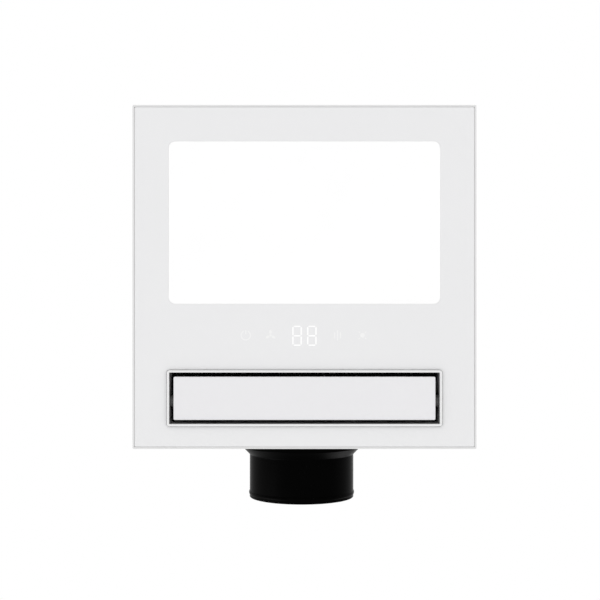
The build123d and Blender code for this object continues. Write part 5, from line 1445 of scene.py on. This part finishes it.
def make_lid_slopes():
    """Skirts round the lid's raised frame and its three ribs."""
    profile = slope_profile(LID_TOP)
    shape = moulding(FAN_X, FAN_Y, LID_FRAME_HALF, LID_FRAME_HALF, LID_FRAME_CORNER, profile)
    inner = LID_FRAME_HALF - LID_FRAME_BAND
    add_shape(shape, moulding(FAN_X, FAN_Y, inner, inner, LID_FRAME_CORNER / 2,
                              slope_profile(LID_TOP, -1)))
    for step in (-1, 0, 1):
        add_shape(shape, moulding(LID_RIB_X, step * LID_RIB_PITCH, LID_RIB_HALF_X, LID_RIB_HALF_Y,
                                  BEAD_CORNER, profile))
    fix_to_case(link_mesh("lid_bead_slopes", shape))


def make_wall_slopes():
    """Skirts round the two long beads on each side wall."""
    shape = bmesh.new()
    half = (WALL_BEAD_END - WALL_BEAD_START) / 2
    for side in (-1, 1):
        for z in WALL_BEAD_LEVELS:
            ring = moulding(0, 0, half, WALL_BEAD_HALF, BEAD_CORNER, slope_profile(0.0))
            add_shape(shape, ring, stand((side * CASE_HALF, WALL_BEAD_START + half, z),
                                         (side * QUARTER, "Y"), (QUARTER, "Z")))
    fix_to_case(link_mesh("wall_bead_slopes", shape))


make_lid_slopes()
make_wall_slopes()

# %% [markdown]
# The guard under the heater is welded from round wire inside a flat band. The frame has square bars
# in its place, so here the wires are round, in two layers. Each layer is one model wire, copied on
# points along the outlet.

# %% Wire guard
WIRE_RADIUS = 0.45 * MM
WIRE_SIDES = 10
WIRE_TIP_WIDTH = 0.6
WIRE_TIP_LENGTH = 0.5
WIRE_INSET = 1.0 * MM
BAND_WIDTH = 2.4 * MM
BAND_EDGE = 0.3 * MM
LONG_WIRES = 4
CROSS_WIRES = 15


def model_wire(length):
    """A straight wire with rounded ends, along Z, with its middle at the origin."""
    half = length / 2
    tip, bend = WIRE_RADIUS * WIRE_TIP_WIDTH, WIRE_RADIUS * WIRE_TIP_LENGTH
    profile = [(0.0, -half), (tip, -half), (WIRE_RADIUS, -half + bend),
               (WIRE_RADIUS, half - bend), (tip, half), (0.0, half)]
    return link_mesh("model_wire", lathe(profile, WIRE_SIDES, False))


def wire_layer(shape, count, axis, z):
    """Add one layer of wires along an axis, spaced evenly across the guard."""
    low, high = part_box("outlet_guard")
    middle = (low + high) / 2
    other = 1 - axis
    places = []
    for index in range(count):
        point = Vector((middle.x, middle.y, z))
        point[other] = low[other] + (high[other] - low[other]) * (index + 1) / (count + 1)
        places.append((point, [1 - axis, axis, 0], 0.0))
    model = model_wire(high[axis] - low[axis] - 2 * WIRE_INSET)
    take_mesh(shape, copies_on_points("wires", model, places, "dark_wire"))


def make_guard():
    """The grille of round wires in its band, as the frame spaces its bars."""
    low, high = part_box("outlet_guard")
    half = (high - low) / 2
    profile = [(-BAND_WIDTH, low.z), (-BAND_EDGE, low.z), (0.0, low.z + BAND_EDGE),
               (0.0, high.z - BAND_EDGE), (-BAND_EDGE, high.z), (-BAND_WIDTH, high.z)]
    shape = moulding(0, OUTLET_Y, half.x, half.y, BAND_WIDTH + BAND_EDGE, profile)
    wire_layer(shape, CROSS_WIRES, 1, high.z - WIRE_RADIUS)
    wire_layer(shape, LONG_WIRES, 0, low.z + WIRE_RADIUS)
    hand_over(link_mesh("outlet_wire_guard", shape), "outlet_guard")


make_guard()

# %% [markdown]
# The fan wheel is a ring of forward-curved blades between a back plate and a thin ring. Its plate
# and hub are turned in one go. One blade, bent to an arc, is the model for the other thirty-five.

# %% Fan wheel
WHEEL_BLADES = 36
WHEEL_INNER = 54.0 * MM
WHEEL_LEAD = math.radians(12)
WHEEL_STEPS = 96
BLADE_WALL = 1.2 * MM
BLADE_BEND = 2.2 * MM
BLADE_STEPS = 6
BLADE_FOOT = 1.5 * MM
BLADE_SINK = 0.5 * MM
BLADE_INSET = 0.4 * MM
HUB_BORE = 4.0 * MM
HUB_SIDE = ((10.5, 82.0), (11.0, 82.5), (11.0, 92.0), (15.0, 96.0))
HUB_LOW = 82.0 * MM
PLATE_START = 22.0 * MM
PLATE_WALL = 2.0 * MM
PLATE_EDGE = 0.6 * MM
RING_WIDTH = 5.0 * MM
RING_HEIGHT = 3.0 * MM
RING_EDGE = 0.3 * MM


def model_wheel_blade(low, high, outer):
    """One blade along Z, bent to an arc from the inner to the outer circle."""
    shape = bmesh.new()
    start = Vector((WHEEL_INNER, 0.0))
    end = Vector((outer * math.cos(WHEEL_LEAD), outer * math.sin(WHEEL_LEAD)))
    across = Vector((end.y - start.y, start.x - end.x)).normalized()
    front, back = [], []
    for step in range(BLADE_STEPS + 1):
        share = step / BLADE_STEPS
        middle = start.lerp(end, share) + across * BLADE_BEND * math.sin(math.pi * share)
        front.append(middle + across * BLADE_WALL / 2)
        back.append(middle - across * BLADE_WALL / 2)
    outline = front + back[::-1]
    for layer in two_layers(shape, outline, low, high):
        for step in range(BLADE_STEPS):
            other = len(outline) - 1 - step
            shape.faces.new((layer[step], layer[step + 1], layer[other - 1], layer[other]))
    bmesh.ops.recalc_face_normals(shape, faces=shape.faces)
    return link_mesh("model_wheel_blade", shape)


def make_wheel():
    """The fan wheel: hub and plate, blades, and the ring at the inlet. The hub's side is given as
    radii and heights in mm."""
    low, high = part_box("impeller")
    outer = (high.x - low.x) / 2
    plate_z = high.z - PLATE_WALL
    place = (FAN_X, FAN_Y, 0.0)
    hub = [(HUB_BORE, HUB_LOW), *((radius * MM, height * MM) for radius, height in HUB_SIDE),
           (PLATE_START, plate_z), (outer - PLATE_EDGE, plate_z), (outer, plate_z + PLATE_EDGE),
           (outer, high.z), (HUB_BORE, high.z)]
    ring = [(outer - RING_WIDTH, low.z), (outer - RING_EDGE, low.z), (outer, low.z + RING_EDGE),
            (outer, low.z + RING_HEIGHT), (outer - RING_WIDTH, low.z + RING_HEIGHT)]
    shape = turned(hub, WHEEL_STEPS, True, place, (0, 0, 1))
    add_shape(shape, turned(ring, WHEEL_STEPS, True, place, (0, 0, 1)))
    spins = [(place, (0, 0, 1), 2 * math.pi * index / WHEEL_BLADES)
             for index in range(WHEEL_BLADES)]
    model = model_wheel_blade(low.z + BLADE_FOOT, plate_z + BLADE_SINK, outer - BLADE_INSET)
    take_mesh(shape, copies_on_points("blades", model, spins, "wheel_plastic"))
    hand_over(link_mesh("fan_wheel_moulding", shape), "impeller")


make_wheel()

# %% [markdown]
# The wiring box gets a cover plate with two screws on its outer side, as an electrician would open
# it.

# %% Wiring box cover
COVER_INSET = 1.6 * MM
COVER_THICKNESS = 0.9 * MM
COVER_EDGE = 0.3 * MM
COVER_CORNER = 2.0 * MM
COVER_SCREW_INSET = 5.0 * MM
COVER_SCREW_LENGTH = 4.0 * MM
COVER_SCREW_SPIN = 0.6


def make_wiring_cover():
    """A thin cover on the wiring box's outer side, with two screws."""
    low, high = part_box("wiring_box")
    middle = (low + high) / 2
    half_y = (high.y - low.y) / 2 - COVER_INSET
    half_z = (high.z - low.z) / 2 - COVER_INSET
    outline = rounded_outline(0, 0, half_y - COVER_EDGE, half_z - COVER_EDGE, COVER_CORNER)
    cover = plate("wiring_cover", [outline], 0.0, COVER_THICKNESS, COVER_EDGE)
    moved(cover, stand((low.x, middle.y, middle.z), (-QUARTER, "Y"), (QUARTER, "Z")))
    fix_to_case(link_mesh("wiring_box_cover", cover), "black_plastic")
    reach_y, reach_z = half_y - COVER_SCREW_INSET, half_z - COVER_SCREW_INSET
    places = [((low.x - COVER_THICKNESS, middle.y + side * reach_y, middle.z + side * reach_z),
               (-1, 0, 0), COVER_SCREW_SPIN + side) for side in (-1, 1)]
    screws = copies_on_points("wiring_cover_screws", model_screw(COVER_SCREW_LENGTH), places,
                              "bright_steel")
    fix_to_case(screws, "bright_steel")


make_wiring_cover()
